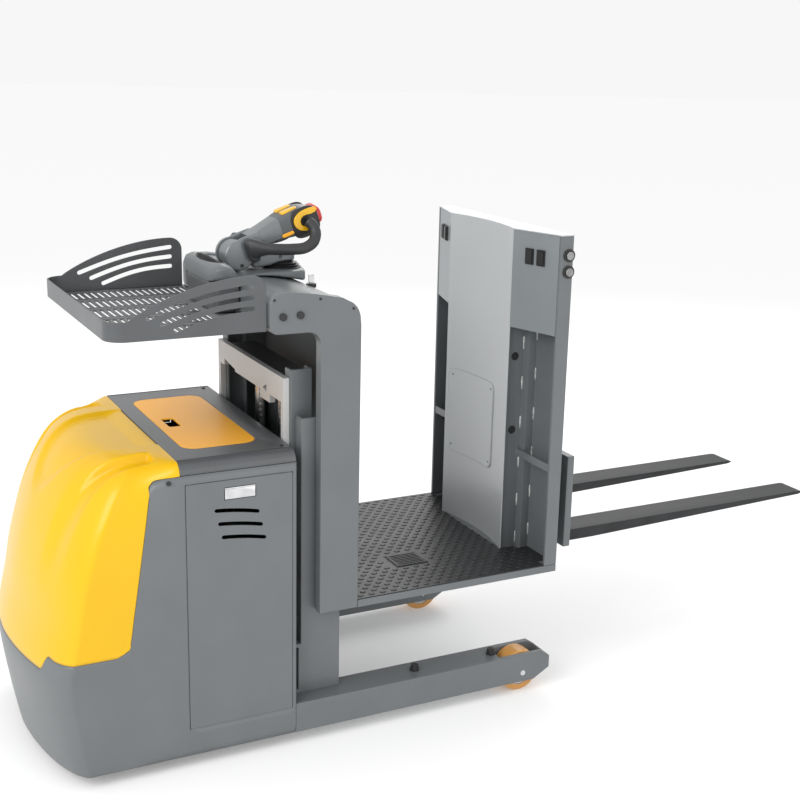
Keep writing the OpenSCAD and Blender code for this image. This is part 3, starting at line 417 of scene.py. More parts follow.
def finish_of(name, base, rough, metal=0.0, coat=0.0, grain=900.0, bump=0.03, mottle=0.06, patch=7.0,
              stretch=(1, 1, 1), shine=0.5, glow=0.0):
    """A finish whose colour and gloss drift over broad patches, with a fine grain in its bump."""
    spread = 0.08  # how far the roughness drifts either way
    m = bpy.data.materials.new(name)
    m.use_nodes = True
    nodes, links = m.node_tree.nodes, m.node_tree.links

    def node(kind, **values):
        made = nodes.new(f"ShaderNode{kind}")
        for socket, value in values.items():
            made.inputs[socket.replace("_", " ")].default_value = value
        return made

    shader = nodes["Principled BSDF"]
    for socket, value in (("Metallic", metal), ("Coat Weight", coat), ("Coat Roughness", 0.12),
                          ("Specular IOR Level", shine), ("Emission Color", (1, 1, 1, 1)),
                          ("Emission Strength", glow)):
        shader.inputs[socket].default_value = value
    place = node("TexCoord")
    mapping = node("Mapping", Scale=stretch)
    broad = node("TexNoise", Scale=patch, Detail=5)
    fine = node("TexNoise", Scale=grain, Detail=2)
    tint = node("ValToRGB")
    for stop, position, share in zip(tint.color_ramp.elements, (0.35, 0.65), (1 - mottle, 1 + mottle)):
        stop.position = position
        stop.color = (*(min(1, c * share) for c in base), 1)
    gloss = node("MapRange", To_Min=max(0.02, rough - spread), To_Max=min(1.0, rough + spread))
    relief = node("Bump", Strength=bump, Distance=0.0006)
    for source, out, target, socket in (
            (place, "Object", mapping, "Vector"), (place, "Object", broad, "Vector"),
            (mapping, "Vector", fine, "Vector"), (broad, "Fac", tint, "Fac"), (tint, "Color", shader, "Base Color"),
            (broad, "Fac", gloss, "Value"), (gloss, "Result", shader, "Roughness"), (fine, "Fac", relief, "Height"),
            (relief, "Normal", shader, "Normal")):
        links.new(source.outputs[out], target.inputs[socket])
    MATERIALS[name] = m


def mix(a, b, t):
    """Colour between two colours."""
    return [x + (y - x) * t for x, y in zip(a, b)]


class PICKER_OT_finishes(bpy.types.Operator):
    """Make the paints, rubbers, plastics and metals."""

    bl_idname = "picker.finishes"
    bl_label = "Finishes"

    def execute(self, context):
        c = context.scene.picker_paint
        finish_of("grey_paint", c.grey, 0.42, coat=0.10, grain=1300, bump=0.10, mottle=0.035)
        finish_of("dark_paint", c.dark, 0.38, coat=0.12, grain=1300, bump=0.10, mottle=0.04)
        finish_of("light_paint", c.light, 0.36, metal=0.25, coat=0.10, grain=1500, bump=0.06, mottle=0.03, patch=3)
        finish_of("panel_paint", mix(c.light, (1, 1, 1), 0.24), 0.40, metal=0.2, coat=0.10, grain=1500, bump=0.06,
                  mottle=0.03, patch=3)
        finish_of("pale_paint", c.pale, 0.42, coat=0.05, grain=1100, bump=0.08, mottle=0.03)
        finish_of("hood_gloss", c.yellow, 0.34, coat=0.16, grain=700, bump=0.03, mottle=0.02, patch=3, shine=0.3)
        finish_of("lid_gloss", c.orange, 0.40, coat=0.08, grain=800, bump=0.04, mottle=0.02, patch=3, shine=0.3)
        finish_of("fork_paint", mix(c.black, c.grey, 0.10), 0.50, shine=0.25, grain=500, bump=0.16, mottle=0.18,
                  patch=14)
        finish_of("black_plastic", c.black, 0.42, grain=2200, bump=0.14, mottle=0.08)
        finish_of("black_rubber", c.black, 0.50, grain=1700, bump=0.18, mottle=0.12)
        finish_of("mat_rubber", mix(c.black, c.grey, 0.04), 0.42, grain=900, bump=0.14, mottle=0.12, shine=0.35)
        finish_of("loop_rubber", mix(c.black, c.grey, 0.10), 0.44, grain=2400, bump=0.16, mottle=0.10)
        finish_of("head_plastic", mix(c.dark, c.grey, 0.3), 0.46, grain=2000, bump=0.16, mottle=0.05)
        finish_of("cast_grey", mix(c.grey, c.light, 0.35), 0.34, metal=0.35, coat=0.1, grain=420, bump=0.12,
                  mottle=0.05)
        finish_of("tyre", c.amber, 0.36, coat=0.15, grain=260, bump=0.05, mottle=0.08, patch=20)
        finish_of("bright_metal", (0.62, 0.62, 0.63), 0.24, metal=1.0, grain=240, bump=0.08, mottle=0.08,
                  patch=30, stretch=(1, 1, 14))
        finish_of("worn_metal", (0.30, 0.30, 0.30), 0.38, metal=0.9, grain=300, bump=0.12, mottle=0.25, patch=40)
        finish_of("dark_metal", (0.05, 0.05, 0.052), 0.42, metal=0.6, grain=600, bump=0.14, mottle=0.2, patch=20)
        finish_of("red_gloss", c.red, 0.22, coat=0.5, grain=900, bump=0.02, mottle=0.05)
        finish_of("button_yellow", mix(c.yellow, c.orange, 0.15), 0.30, coat=0.3, grain=1500, bump=0.05,
                  mottle=0.03)
        # weld beads: the bright metal colour is a painted highlight; the real welds are painted grey like the frame
        # and only catch glints
        finish_of("weld_highlight", (0.62, 0.63, 0.62), 0.35, metal=0.7, grain=900, bump=0.4, mottle=0.25, patch=90)
        return {"FINISHED"}


# ---------- body ----------


def nose_inset(z):
    """How far the nose stands back at a height: a superellipse above its foremost point, a soft lean below."""
    b = bpy.context.scene.picker_body
    up = np.clip((z - b.nose_height) / (TOP_Z - b.nose_height), 0, 1)
    down = np.clip((b.nose_height - z) / (b.nose_height - SKIRT_Z), 0, 1)
    flat = 0.019 * step(SKIRT_Z + 0.259, SKIRT_Z + 0.459, z) * (1 - step(CAP_Z - 0.127, CAP_Z + 0.093, z))
    return b.crown_draw * (1 - (1 - up**1.6) ** 0.40) + 0.045 * down**1.3 + flat


def side_inset(z):
    """How far the front half of the sides draws in at a height: a superellipse, flat until near the top."""
    b = bpy.context.scene.picker_body
    up = np.clip((z - b.nose_height) / (TOP_Z - b.nose_height), 0, 1)
    return 0.130 * (1 - (1 - up**6) ** 0.45)


def rear_inset(z):
    """How far the rear of the sides draws in: the quarter round of the cover's edge."""
    r = 0.036
    return r - np.sqrt(np.clip(r**2 - np.clip(z - TOP_Z + r, 0, r) ** 2, 0, None))


def body_point(z, c, end_x):
    """Point of the body's skin. c runs from -1 at the left end, round the nose at 0, to 1 at the right end.

    Up to |c| = NOSE_SHARE it follows the nose in plan, x = depth (1 - (1 - u^1.7)^(1/1.8)) where u is the
    share of the half width; beyond that it runs straight back along the side to end_x."""
    b = bpy.context.scene.picker_body
    z, c, end_x = np.broadcast_arrays(z, c, end_x)
    front = NOSE_X + nose_inset(z)
    half = HALF_W - side_inset(z)
    rear_half = HALF_W - rear_inset(z)
    u = np.sin(pi / 2 * np.clip(np.abs(c) / NOSE_SHARE, 0, 1))
    x = front + b.nose_depth * (1 - np.clip(1 - u**1.7, 0, 1) ** (1 / 1.8))
    y = half * u
    g = np.clip((np.abs(c) - NOSE_SHARE) / (1 - NOSE_SHARE), 0, 1)
    corner = front + b.nose_depth
    side_x = corner + (end_x - corner) * g
    k = step(0, 1, (side_x - corner) / (CAP_X - corner + 1e-6))
    side_y = half + (rear_half - half) * k
    on_side = g > 0
    return at(np.where(on_side, side_x, x), np.sign(c) * np.where(on_side, side_y, y), z)


def boundary_x(z):
    """Where the hood ends along the side at a height: a smooth curve that swings back at the very top."""
    low_z = bpy.context.scene.picker_body.hood_low
    zs = [low_z, low_z + 0.016, low_z + 0.041, low_z + 0.109, low_z + 0.236, low_z + 0.362, low_z + 0.462,
          CAP_Z - 0.017, CAP_Z - 0.009, CAP_Z - 0.004, CAP_Z]
    back = [0.540, 0.506, 0.499, 0.488, 0.468, 0.448, 0.430, 0.422, 0.410, 0.384, REAR_X - CAP_X]
    return REAR_X - flow(zs, back, z)


def hood_edge(y):
    """Height of the hood's lower edge across the nose: lower in the middle, with a notch at each corner."""
    y = np.abs(y)
    middle = 0.040 * (1 - step(0.300, 0.330, y))
    notch = 0.006 * step(0.300, 0.318, y) * (1 - step(0.325, 0.365, y))
    return bpy.context.scene.picker_body.hood_low - middle + notch


def past_bend():
    """Place along the side just behind the curved nose, from where the hood's edge is level."""
    return NOSE_X + bpy.context.scene.picker_body.nose_depth + 0.017


def hood_relief(p):
    """Depth of the hood's relief at each point: an oval dish about the middle of its rear edge, a groove with
    smooth walls on each side of it that runs to the rear, and a shallow valley that leads into each groove."""
    b = bpy.context.scene.picker_body
    x, y, z = p[..., 0], np.abs(p[..., 1]), p[..., 2]
    ring = np.sqrt(((x - CAP_X + 0.010) / 0.315) ** 2 + (y / 0.208) ** 2)
    dish = b.dish_depth * (1 - step(0.91, 1.0, ring)) * (1 - 0.7 * step(CAP_X - 0.06, CAP_X - 0.004, x))
    run = step(CAP_X - 0.300, CAP_X - 0.17, x) * (1 - step(CAP_X - 0.056, CAP_X - 0.047, x))
    centre = 0.300 - 0.02 * (1 - step(CAP_X - 0.3, CAP_X - 0.08, x))
    groove = b.groove_depth * run * (1 - step(0.016, 0.037, np.abs(y - centre)))
    valley = 0.012 * (1 - step(0.0, 0.070, np.abs(y - 0.262))) * step(0.55, 0.78, z) * (1 - run)
    valley = valley * (1 - step(CAP_X - 0.10, CAP_X - 0.03, x))
    return dish + groove + valley


class PICKER_OT_hood(bpy.types.Operator):
    """Moulded hood over the nose, with its dish and grooves."""

    bl_idname = "picker.hood"
    bl_label = "Front hood"

    def execute(self, context):
        b = context.scene.picker_body
        c = np.concatenate([np.linspace(-1, -NOSE_SHARE, 50)[:-1], np.linspace(-NOSE_SHARE, NOSE_SHARE, 150),
                            np.linspace(NOSE_SHARE, 1, 50)[1:]])[None]
        share = 1 - (1 - np.linspace(0, 1, 120)[:, None]) ** 2.1
        first = body_point(np.full_like(c, b.hood_low), c, boundary_x(np.full_like(c, b.hood_low)))
        edge = np.where(first[..., 0] > past_bend(), b.hood_low, hood_edge(first[..., 1]))
        z = edge + (TOP_Z - edge) * share
        skin = body_point(z, c, boundary_x(z))
        g = np.linspace(0, 1, 40)[1:, None, None]
        top = skin[-1:].repeat(len(g), 0)
        top = top + g * np.array([1.0, 0, 0]) * (CAP_X - top[..., :1])
        points = np.concatenate([skin, top])
        points[..., 0] = np.minimum(points[..., 0], CAP_X - 0.0006)
        normal = np.cross(np.gradient(points, axis=0), np.gradient(points, axis=1))
        length = np.linalg.norm(normal, axis=-1, keepdims=True)
        normal = np.where(length > 1e-12, normal / np.maximum(length, 1e-12), 0)
        inside = (CAP_X, 0, 0.6)
        away = points - np.array(inside)
        normal *= np.sign((normal * away).sum(-1, keepdims=True))
        points = points - normal * hood_relief(points)[..., None]
        obj = make("front_hood_shell", grid(points), "hood_gloss", "chassis", ["front_hood"], 50)
        thicken(outward(obj, inside), b.wall)
        return {"FINISHED"}


class PICKER_OT_skirt(bpy.types.Operator):
    """Lower casing from the rear corners round the nose, with the door openings."""

    bl_idname = "picker.skirt"
    bl_label = "Body skirt"

    def execute(self, context):
        b = context.scene.picker_body
        gap, seam, sill = 0.0015, 0.0012, 0.0004
        # columns: straight back along a flank with the door's edges among them, and round the nose
        stops = [REAR_X, DOOR_HIGH.x + gap, DOOR_LOW.x - gap, CAP_X, REAR_X - 0.545]
        side_x = np.concatenate([np.linspace(a, e, n)[:-1] for a, e, n in zip(stops[:-1], stops[1:], (4, 12, 4, 90))]
                                + [[stops[-1]]])
        run_x = np.linspace(stops[-1], NOSE_X + b.nose_depth, 16)[1:-1]
        flank = np.concatenate([side_x, run_x])
        nose_c = np.linspace(-NOSE_SHARE, NOSE_SHARE, 130)
        # top edge: a seam below the hood's edge
        z_table = np.linspace(b.hood_low, CAP_Z, 400)
        x_table = boundary_x(z_table)
        flank_top = np.where(flank < x_table[0], b.hood_low, np.interp(flank - seam, x_table, z_table)) - seam
        nose_base = body_point(np.full_like(nose_c, b.hood_low), nose_c, REAR_X)
        nose_top = np.where(nose_base[:, 0] > past_bend(), b.hood_low, hood_edge(nose_base[:, 1])) - seam
        top = np.concatenate([flank_top, nose_top, flank_top[::-1]])
        # rows, with the door's sill and head among them
        door_z = np.array([DOOR_LOW.z - sill, DOOR_HIGH.z + gap])
        share = np.unique(np.concatenate([np.linspace(0, 1, 40), (door_z - SKIRT_Z) / (CAP_Z - seam - SKIRT_Z)]))
        z = SKIRT_Z + (top[None] - SKIRT_Z) * share[:, None]
        corner = NOSE_X + nose_inset(z[:, :len(flank)]) + b.nose_depth
        run = np.linspace(0, 1, len(run_x) + 2)[1:-1]
        place = np.concatenate([np.broadcast_to(side_x, (len(z), len(side_x))),
                                stops[-1] + (corner[:, len(side_x):] - stops[-1]) * run], 1)
        flank_c = NOSE_SHARE + (1 - NOSE_SHARE) * np.clip((place - corner) / (REAR_X - corner), 0, 1)
        c = np.concatenate([-flank_c, np.broadcast_to(nose_c, (len(z), len(nose_c))), flank_c[:, ::-1]], 1)
        points = body_point(z, c, REAR_X)
        foot = 0.004 * (1 - step(0, 0.012, z - SKIRT_Z))
        points[..., 1] -= np.sign(points[..., 1]) * foot
        shape, faces = grid(points)
        centre = shape[faces].mean(1)
        door = ((centre[:, 0] > DOOR_LOW.x - gap) & (centre[:, 0] < DOOR_HIGH.x + gap)
                & (centre[:, 2] > door_z[0]) & (centre[:, 2] < door_z[1]))
        obj = make("body_skirt_shell", (shape, faces[~door]), "grey_paint", "chassis", (), 50)
        thicken(outward(obj, (REAR_X - 0.3, 0, 0.4)), b.wall)
        wall_low, wall_high, wall_half = SKIRT_Z + 0.261, CAP_Z - 0.001, HALF_W - 0.006
        wall = slab([(-wall_half, wall_low), (wall_half, wall_low), (wall_half, wall_high), (-wall_half, wall_high)],
                    REAR_X - 0.005, REAR_X, lambda u, v, h: at(h, u, v))
        bevel(make("body_rear_wall", wall, "grey_paint", "chassis", ["body_skirt"]), 0.0015)
        return {"FINISHED"}


# ---------- softened frame parts ----------

SOFT = {
    "chassis_frame": ("dark_paint", 0.0015), "support_legs": ("grey_paint", 0.003),
    "top_cover": ("dark_paint", 0.0025), "battery_lid": ("lid_gloss", 0.0015),
    "battery_pack": ("black_plastic", 0.003), "power_unit": ("dark_metal", 0.002),
    "drive_unit": ("dark_metal", 0.002), "drive_wheel": ("tyre", 0.004), "mast_rails": ("grey_paint", 0.0025),
    "lift_cylinders": ("dark_metal", 0.0015), "lift_rods": ("bright_metal", 0.001),
    "inner_rails": ("grey_paint", 0.0025), "chain_sheaves": ("dark_metal", 0.0006),
    "cabin_column_left": ("grey_paint", 0.004), "cabin_column_right": ("grey_paint", 0.004),
    "carriage_frame": ("dark_metal", 0.001), "platform_deck": ("grey_paint", 0.0025),
    "front_panel": ("grey_paint", 0.001), "backrest_posts": ("grey_paint", 0.003),
    "backrest_panel": ("panel_paint", 0.0012), "fork_mast": ("dark_paint", 0.001),
    "fork_lift_rod": ("bright_metal", 0.001), "fork_carriage": ("grey_paint", 0.003),
    "forks": ("fork_paint", 0.003), "load_wheel_axles": ("bright_metal", 0.0012),
    "switch_bezels": ("black_plastic", 0.0006), "cabin_screws": ("black_plastic", 0.0008),
    "door_latch_left": ("bright_metal", 0.0006), "door_latch_right": ("bright_metal", 0.0006),
    "leg_buffers": ("black_rubber", 0.001), "body_screws": ("black_plastic", 0.0005),
    "rocker_left_front": ("black_plastic", 0.001), "rocker_left_rear": ("black_plastic", 0.001),
    "rocker_right_front": ("black_plastic", 0.001), "rocker_right_rear": ("black_plastic", 0.001),
    "push_button_upper": ("worn_metal", 0.001), "push_button_lower": ("worn_metal", 0.001),
    "foot_pedal": ("black_rubber", 0.001), "ignition_key": ("bright_metal", 0.0004),
}


class PICKER_OT_frame_parts(bpy.types.Operator):
    """Plates, rails, columns, forks and inner works with rounded edges and their paint."""

    bl_idname = "picker.frame_parts"
    bl_label = "Frame parts"

    def execute(self, context):
        for node, (material, width) in SOFT.items():
            softened(node, material, width)
        return {"FINISHED"}


# ---------- tiller ----------

HUB_R = 0.045
HUB = np.array([low("tiller_arm").x + HUB_R, 0.0, low("tiller_arm").z + HUB_R])
STEM_X = high("tiller_stem").x - high("tiller_stem").y


def in_arm(s, y, n):
    """Point at s along the arm, y to the side and n above the arm's axis."""
    a = bpy.context.scene.picker_tiller.rise
    s, y, n = np.broadcast_arrays(np.asarray(s, float), np.asarray(y, float), np.asarray(n, float))
    return HUB + np.stack([s * cos(a) - n * sin(a), y, s * sin(a) + n * cos(a)], -1)


def loft(s, half, low_n, high_n, p=5.0, sides=48, place=in_arm):
    """Superellipse sections of power p along s, each from low_n to high_n and half wide, closed at both ends."""
    a = np.linspace(0, 2 * pi, sides, endpoint=False)[None]
    s, half = np.asarray(s)[:, None], np.asarray(half)[:, None]
    middle, rise = (np.asarray(high_n) + low_n)[:, None] / 2, (np.asarray(high_n) - low_n)[:, None] / 2
    y = half * power(np.cos(a), 2 / p)
    n = middle + rise * power(np.sin(a), 2 / p)
    rings = place(np.broadcast_to(s, y.shape), y, n)
    middles = np.broadcast_to(rings[[0, -1]].mean(1)[:, None], (2, sides, 3))
    return grid(np.concatenate([middles[:1], rings, middles[1:]]), wrap=True)


def arm_pad(place, half, p, nu=20, nv=32, taper=0.0):
    """A superellipsoid block that lies along the arm, centred at (along, across, above); it may narrow ahead."""
    q, faces = superbox((0, 0, 0), half, p, nu, nv)
    across = q[:, 1] * (1 - taper * q[:, 0] / half[0])
    return in_arm(place[0] + q[:, 0], place[1] + across, place[2] + q[:, 2]), faces


def socket_screw(head, seat):
    """Profile of a round screw head with a socket in it, from head above its seat to seat below it."""
    return [(0, 0.0005), (0.0026, 0.0005), (0.0028, head), (0.0050, head), (0.0056, head - 0.001), (0.0056, -seat)]


class PICKER_OT_tiller(bpy.types.Operator):
    """Cast arm with its hub cheeks and the moulded control head."""

    bl_idname = "picker.tiller"
    bl_label = "Tiller arm"

    def execute(self, context):
        root, tip = 0.050, 0.290
        s = root + (tip - root) * (1 - (1 - np.linspace(0, 1, 60)) ** 1.6)
        stations = [0.05, 0.09, 0.14, 0.19, 0.245, 0.272, 0.290]
        half, high_n, low_n = (flow(stations, values, s) for values in (
            [0.044, 0.044, 0.046, 0.051, 0.051, 0.044, 0.030], [0.042, 0.046, 0.055, 0.063, 0.059, 0.046, 0.030],
            [0.000, -0.008, -0.010, -0.018, -0.016, -0.004, 0.012]))
        arm = make("tiller_arm_body", loft(s, half, low_n, high_n, 5.5), "cast_grey", "arm",
                   ["tiller_arm"], 40)
        ahead = in_arm(1, 0, 0) - HUB
        head_from = 0.150
        zone(arm, "head_plastic", lambda c, n: (c - HUB) @ ahead > head_from)
        cheek = [(0, 0), (0.036, 0), (0.042, 0.0012), (HUB_R, 0.0045), (HUB_R, 0.0185), (0.040, 0.0185), (0, 0.0185)]
        for side, label in SIDES:
            outer_face = HUB + np.array([0, side * 0.050, 0])
            make(f"hub_cheek_{label}", revolve(cheek, outer_face, (0, -side, 0), 64), "cast_grey", "arm")
            web = loft([0.010, 0.03, 0.06, 0.080], [0.0070] * 4, [-0.020, -0.018, -0.008, -0.004],
                       [0.044, 0.045, 0.045, 0.044], 6,
                       place=lambda s, y, n, side=side: in_arm(s, side * 0.0388 + y, n))
            make(f"hub_web_{label}", web, "cast_grey", "arm")
            screw = revolve(socket_screw(0.0022, 0.001), outer_face + np.array([0.006, 0, -0.030]), (0, side, 0), 24)
            make(f"hub_screw_{label}", screw, "black_plastic", "arm")
            pad = arm_pad((0.229, side * 0.0465, 0.016), (0.047, 0.0075, 0.046), 3.2)
            make(f"head_cheek_{label}", pad, "black_plastic", "arm")
        return {"FINISHED"}


class PICKER_OT_grips(bpy.types.Operator):
    """Two rubber grip loops, from a flared socket at the hub round to the head."""

    bl_idname = "picker.grips"
    bl_label = "Grip loops"

    def execute(self, context):
        r = context.scene.picker_tiller.grip / 2
        path = [(0.030, 0.064, 0.012), (0.060, 0.084, 0.004), (0.095, 0.104, -0.010), (0.140, 0.116, -0.027),
                (0.182, 0.115, -0.039), (0.218, 0.103, -0.034), (0.237, 0.088, -0.012), (0.236, 0.078, 0.010),
                (0.2285, 0.070, 0.024)]
        n = 90
        line = along(path, n)
        radius = r * domed_ends(n, 0.018)
        upright = in_arm(0, 0, 1) - HUB
        tall = 0.95 * (1 - step(0.0, 0.24, np.linspace(0, 1, n)))[:, None]
        for side, label in SIDES:
            centre = in_arm(line[:, 0], side * line[:, 1], line[:, 2])
            tube, faces = sweep(centre, radius, 28)
            tube = tube.reshape(n, -1, 3)
            spread = (tube - centre[:, None]) @ upright
            tube = tube + (spread * tall)[..., None] * upright
            make(f"grip_loop_{label}", (tube.reshape(-1, 3), faces), "loop_rubber", "arm",
                 ["grip_loops"] if side < 0 else ())
            socket = arm_pad((0.038, side * 0.0645, 0.004), (0.018, 0.0125, 0.037), 3.5, 20, 40)
            make(f"grip_socket_{label}", socket, "loop_rubber", "arm")
        return {"FINISHED"}


class PICKER_OT_thumb_levers(bpy.types.Operator):
    """Crescent thumb levers and the red safety button."""

    bl_idname = "picker.thumb_levers"
    bl_label = "Thumb levers"

    def execute(self, context):
        pivot = in_arm(0.228, 0, 0.024)
        outer = [(0.033, 0.040), (0.010, 0.036), (-0.018, 0.024), (-0.035, 0.004), (-0.033, -0.016),
                 (-0.018, -0.030), (0.004, -0.033), (0.014, -0.028)]
        inner = [(0.006, -0.0195), (-0.008, -0.0165), (-0.0145, -0.004), (-0.010, 0.008), (0.002, 0.0150),
                 (0.018, 0.018)]
        tip = [(0.032, 0.024), (0.038, 0.033)]
        outline = np.concatenate([flow(range(8), outer, np.linspace(0, 7, 40)),
                                  flow(range(6), inner, np.linspace(0, 5, 30)), tip])
        for side, label in SIDES:
            shape = slab(outline, side * 0.0535, side * 0.0610, lambda u, v, h: pivot + at(u, h, v))
            lever = make(f"thumb_lever_{label}", shape, "button_yellow", "throttle",
                         ["thumb_throttle"] if side < 0 else ())
            bevel(lever, 0.0022, 3)
        cap = arm_pad((0.278, 0, 0.018), (0.019, 0.046, 0.032), 2.6, 30, 48)
        make("belly_button_cap", cap, "red_gloss", "belly", ["belly_button"])
        return {"FINISHED"}


class PICKER_OT_stem(bpy.types.Operator):
    """Casting between the arm's hub and the swivel stem, with its boot and screws."""

    bl_idname = "picker.stem"
    bl_label = "Tiller stem"

    def execute(self, context):
        runs = HUB[0] + np.array([0.0475, 0.052, 0.070, 0.10, 0.125, 0.150, 0.172, 0.184, 0.190])
        half = [0.040, 0.0435, 0.0445, 0.044, 0.042, 0.040, 0.036, 0.026, 0.012]
        under = CONSOLE_TOP - np.array([0.029, 0.032, 0.032, 0.028, 0.021, 0.017, 0.017, 0.017, 0.015])
        over = CONSOLE_TOP + np.array([0.005, 0.008, 0.010, 0.015, 0.021, 0.023, 0.023, 0.022, 0.020])
        make("stem_bracket", loft(runs, half, under, over, 6, place=at), "cast_grey", "tiller",
             ["tiller_stem"])
        barrel = [(0, -0.0306), (0.036, -0.0306), (0.0415, -0.0290), (0.0415, 0.0290), (0.036, 0.0306), (0, 0.0306)]
        make("hub_barrel", revolve(barrel, HUB, (0, 1, 0), 64), "cast_grey", "tiller")
        base_z = low("tiller_stem").z
        tall = CONSOLE_TOP - 0.016 - base_z
        column = [(0, 0), (0.0255, 0), (0.0258, 0.002), (0.0258, tall), (0, tall)]
        make("stem_column", revolve(column, (STEM_X, 0, base_z), (0, 0, 1)), "dark_metal", "tiller")
        for side, label in SIDES:
            seat = (STEM_X - 0.018, side * 0.0405, CONSOLE_TOP - 0.001)
            make(f"stem_screw_{label}", revolve(socket_screw(0.002, 0.004), seat, (0, side, 0), 24),
                 "black_plastic", "tiller")
        boot = [(0.060, 0), (0.062, 0.002), (0.060, 0.004), (0.052, 0.006), (0.056, 0.010), (0.046, 0.012),
                (0.050, 0.016), (0.040, 0.018), (0.035, 0.021), (0.0275, 0.0215), (0.0275, 0.0)]
        make("stem_boot", revolve(boot, (STEM_X, 0, CONSOLE_TOP - 0.0395), (0, 0, 1), 64), "black_rubber", "cabin")
        return {"FINISHED"}


class PICKER_OT_head_buttons(bpy.types.Operator):
    """Flat buttons let into the top of the head, and the strips in its flanks."""

    bl_idname = "picker.head_buttons"
    bl_label = "Head buttons"

    def execute(self, context):
        for side, label in SIDES:
            key = arm_pad((0.197, side * 0.0235, 0.0625), (0.027, 0.0145, 0.0048), 4.5, 12, 40, taper=0.10)
            make(f"head_button_{label}", key, "button_yellow", f"head_button_{label}",
                 [f"tiller_button_{label}"])
        for side, label in SIDES:
            strip = arm_pad((0.166, side * 0.0490, 0.001), (0.020, 0.0020, 0.0055), 5, 8, 24)
            make(f"head_lamp_{label}", strip, "lid_gloss", "arm")
        return {"FINISHED"}


class PICKER_OT_console(bpy.types.Operator):
    """Moulded console with its bowl, and the narrower base under it."""

    bl_idname = "picker.console"
    bl_label = "Console"

    def execute(self, context):
        lo = low("console_pod")
        s = np.concatenate([np.linspace(0, 0.018, 12)[:-1], np.linspace(0.018, 0.084, 40)[:-1],
                            np.linspace(0.084, 0.331, 40)])
        stations = [0, 0.003, 0.009, 0.018, 0.052, 0.066, 0.084, 0.12, 0.22, 0.30, 0.325, 0.331]
        half = flow(stations, [0.116, 0.133, 0.144, 0.150, 0.151, 0.149, 0.140, 0.110, 0.088, 0.078, 0.060, 0.040], s)
        over = CONSOLE_TOP - flow(stations, [0.033, 0.017, 0.005, 0, 0, 0.008, 0.0375, 0.039, 0.0375, 0.038, 0.0395,
                                             0.0405], s)
        under = CONSOLE_TOP - flow([0, 0.20, 0.26, 0.331], [0.0515, 0.0520, 0.063, 0.079], s)
        shape = loft(lo.x + s, half, under, over, 4.5, 128, place=at)
        points = shape[0]

        def bowl(q):
            """How far out from the middle of the oval bowl, which is 1 at its rim."""
            return np.sqrt(((q[:, 0] - lo.x - 0.040) / 0.029) ** 2 + (q[:, 1] / 0.118) ** 2)

        on_top = points[:, 2] > CONSOLE_TOP - 0.021
        points[:, 2] -= np.where(on_top, 0.022 * (1 - step(0.72, 1.0, bowl(points))), 0)
        pod = make("console_shell", shape, "grey_paint", "cabin", ["console_pod"], 40)
        zone(pod, "black_plastic", lambda c, n: (bowl(c) ** 2 < 0.9) & (c[:, 2] > CONSOLE_TOP - 0.036))
        base_top = CONSOLE_TOP - 0.052
        base = superbox((lo.x + 0.050, 0, (lo.z + base_top) / 2), (0.042, 0.138, (base_top - lo.z) / 2), 8, 24, 48)
        make("console_base", base, "dark_paint", "cabin")
        return {"FINISHED"}


# ---------- tray ----------


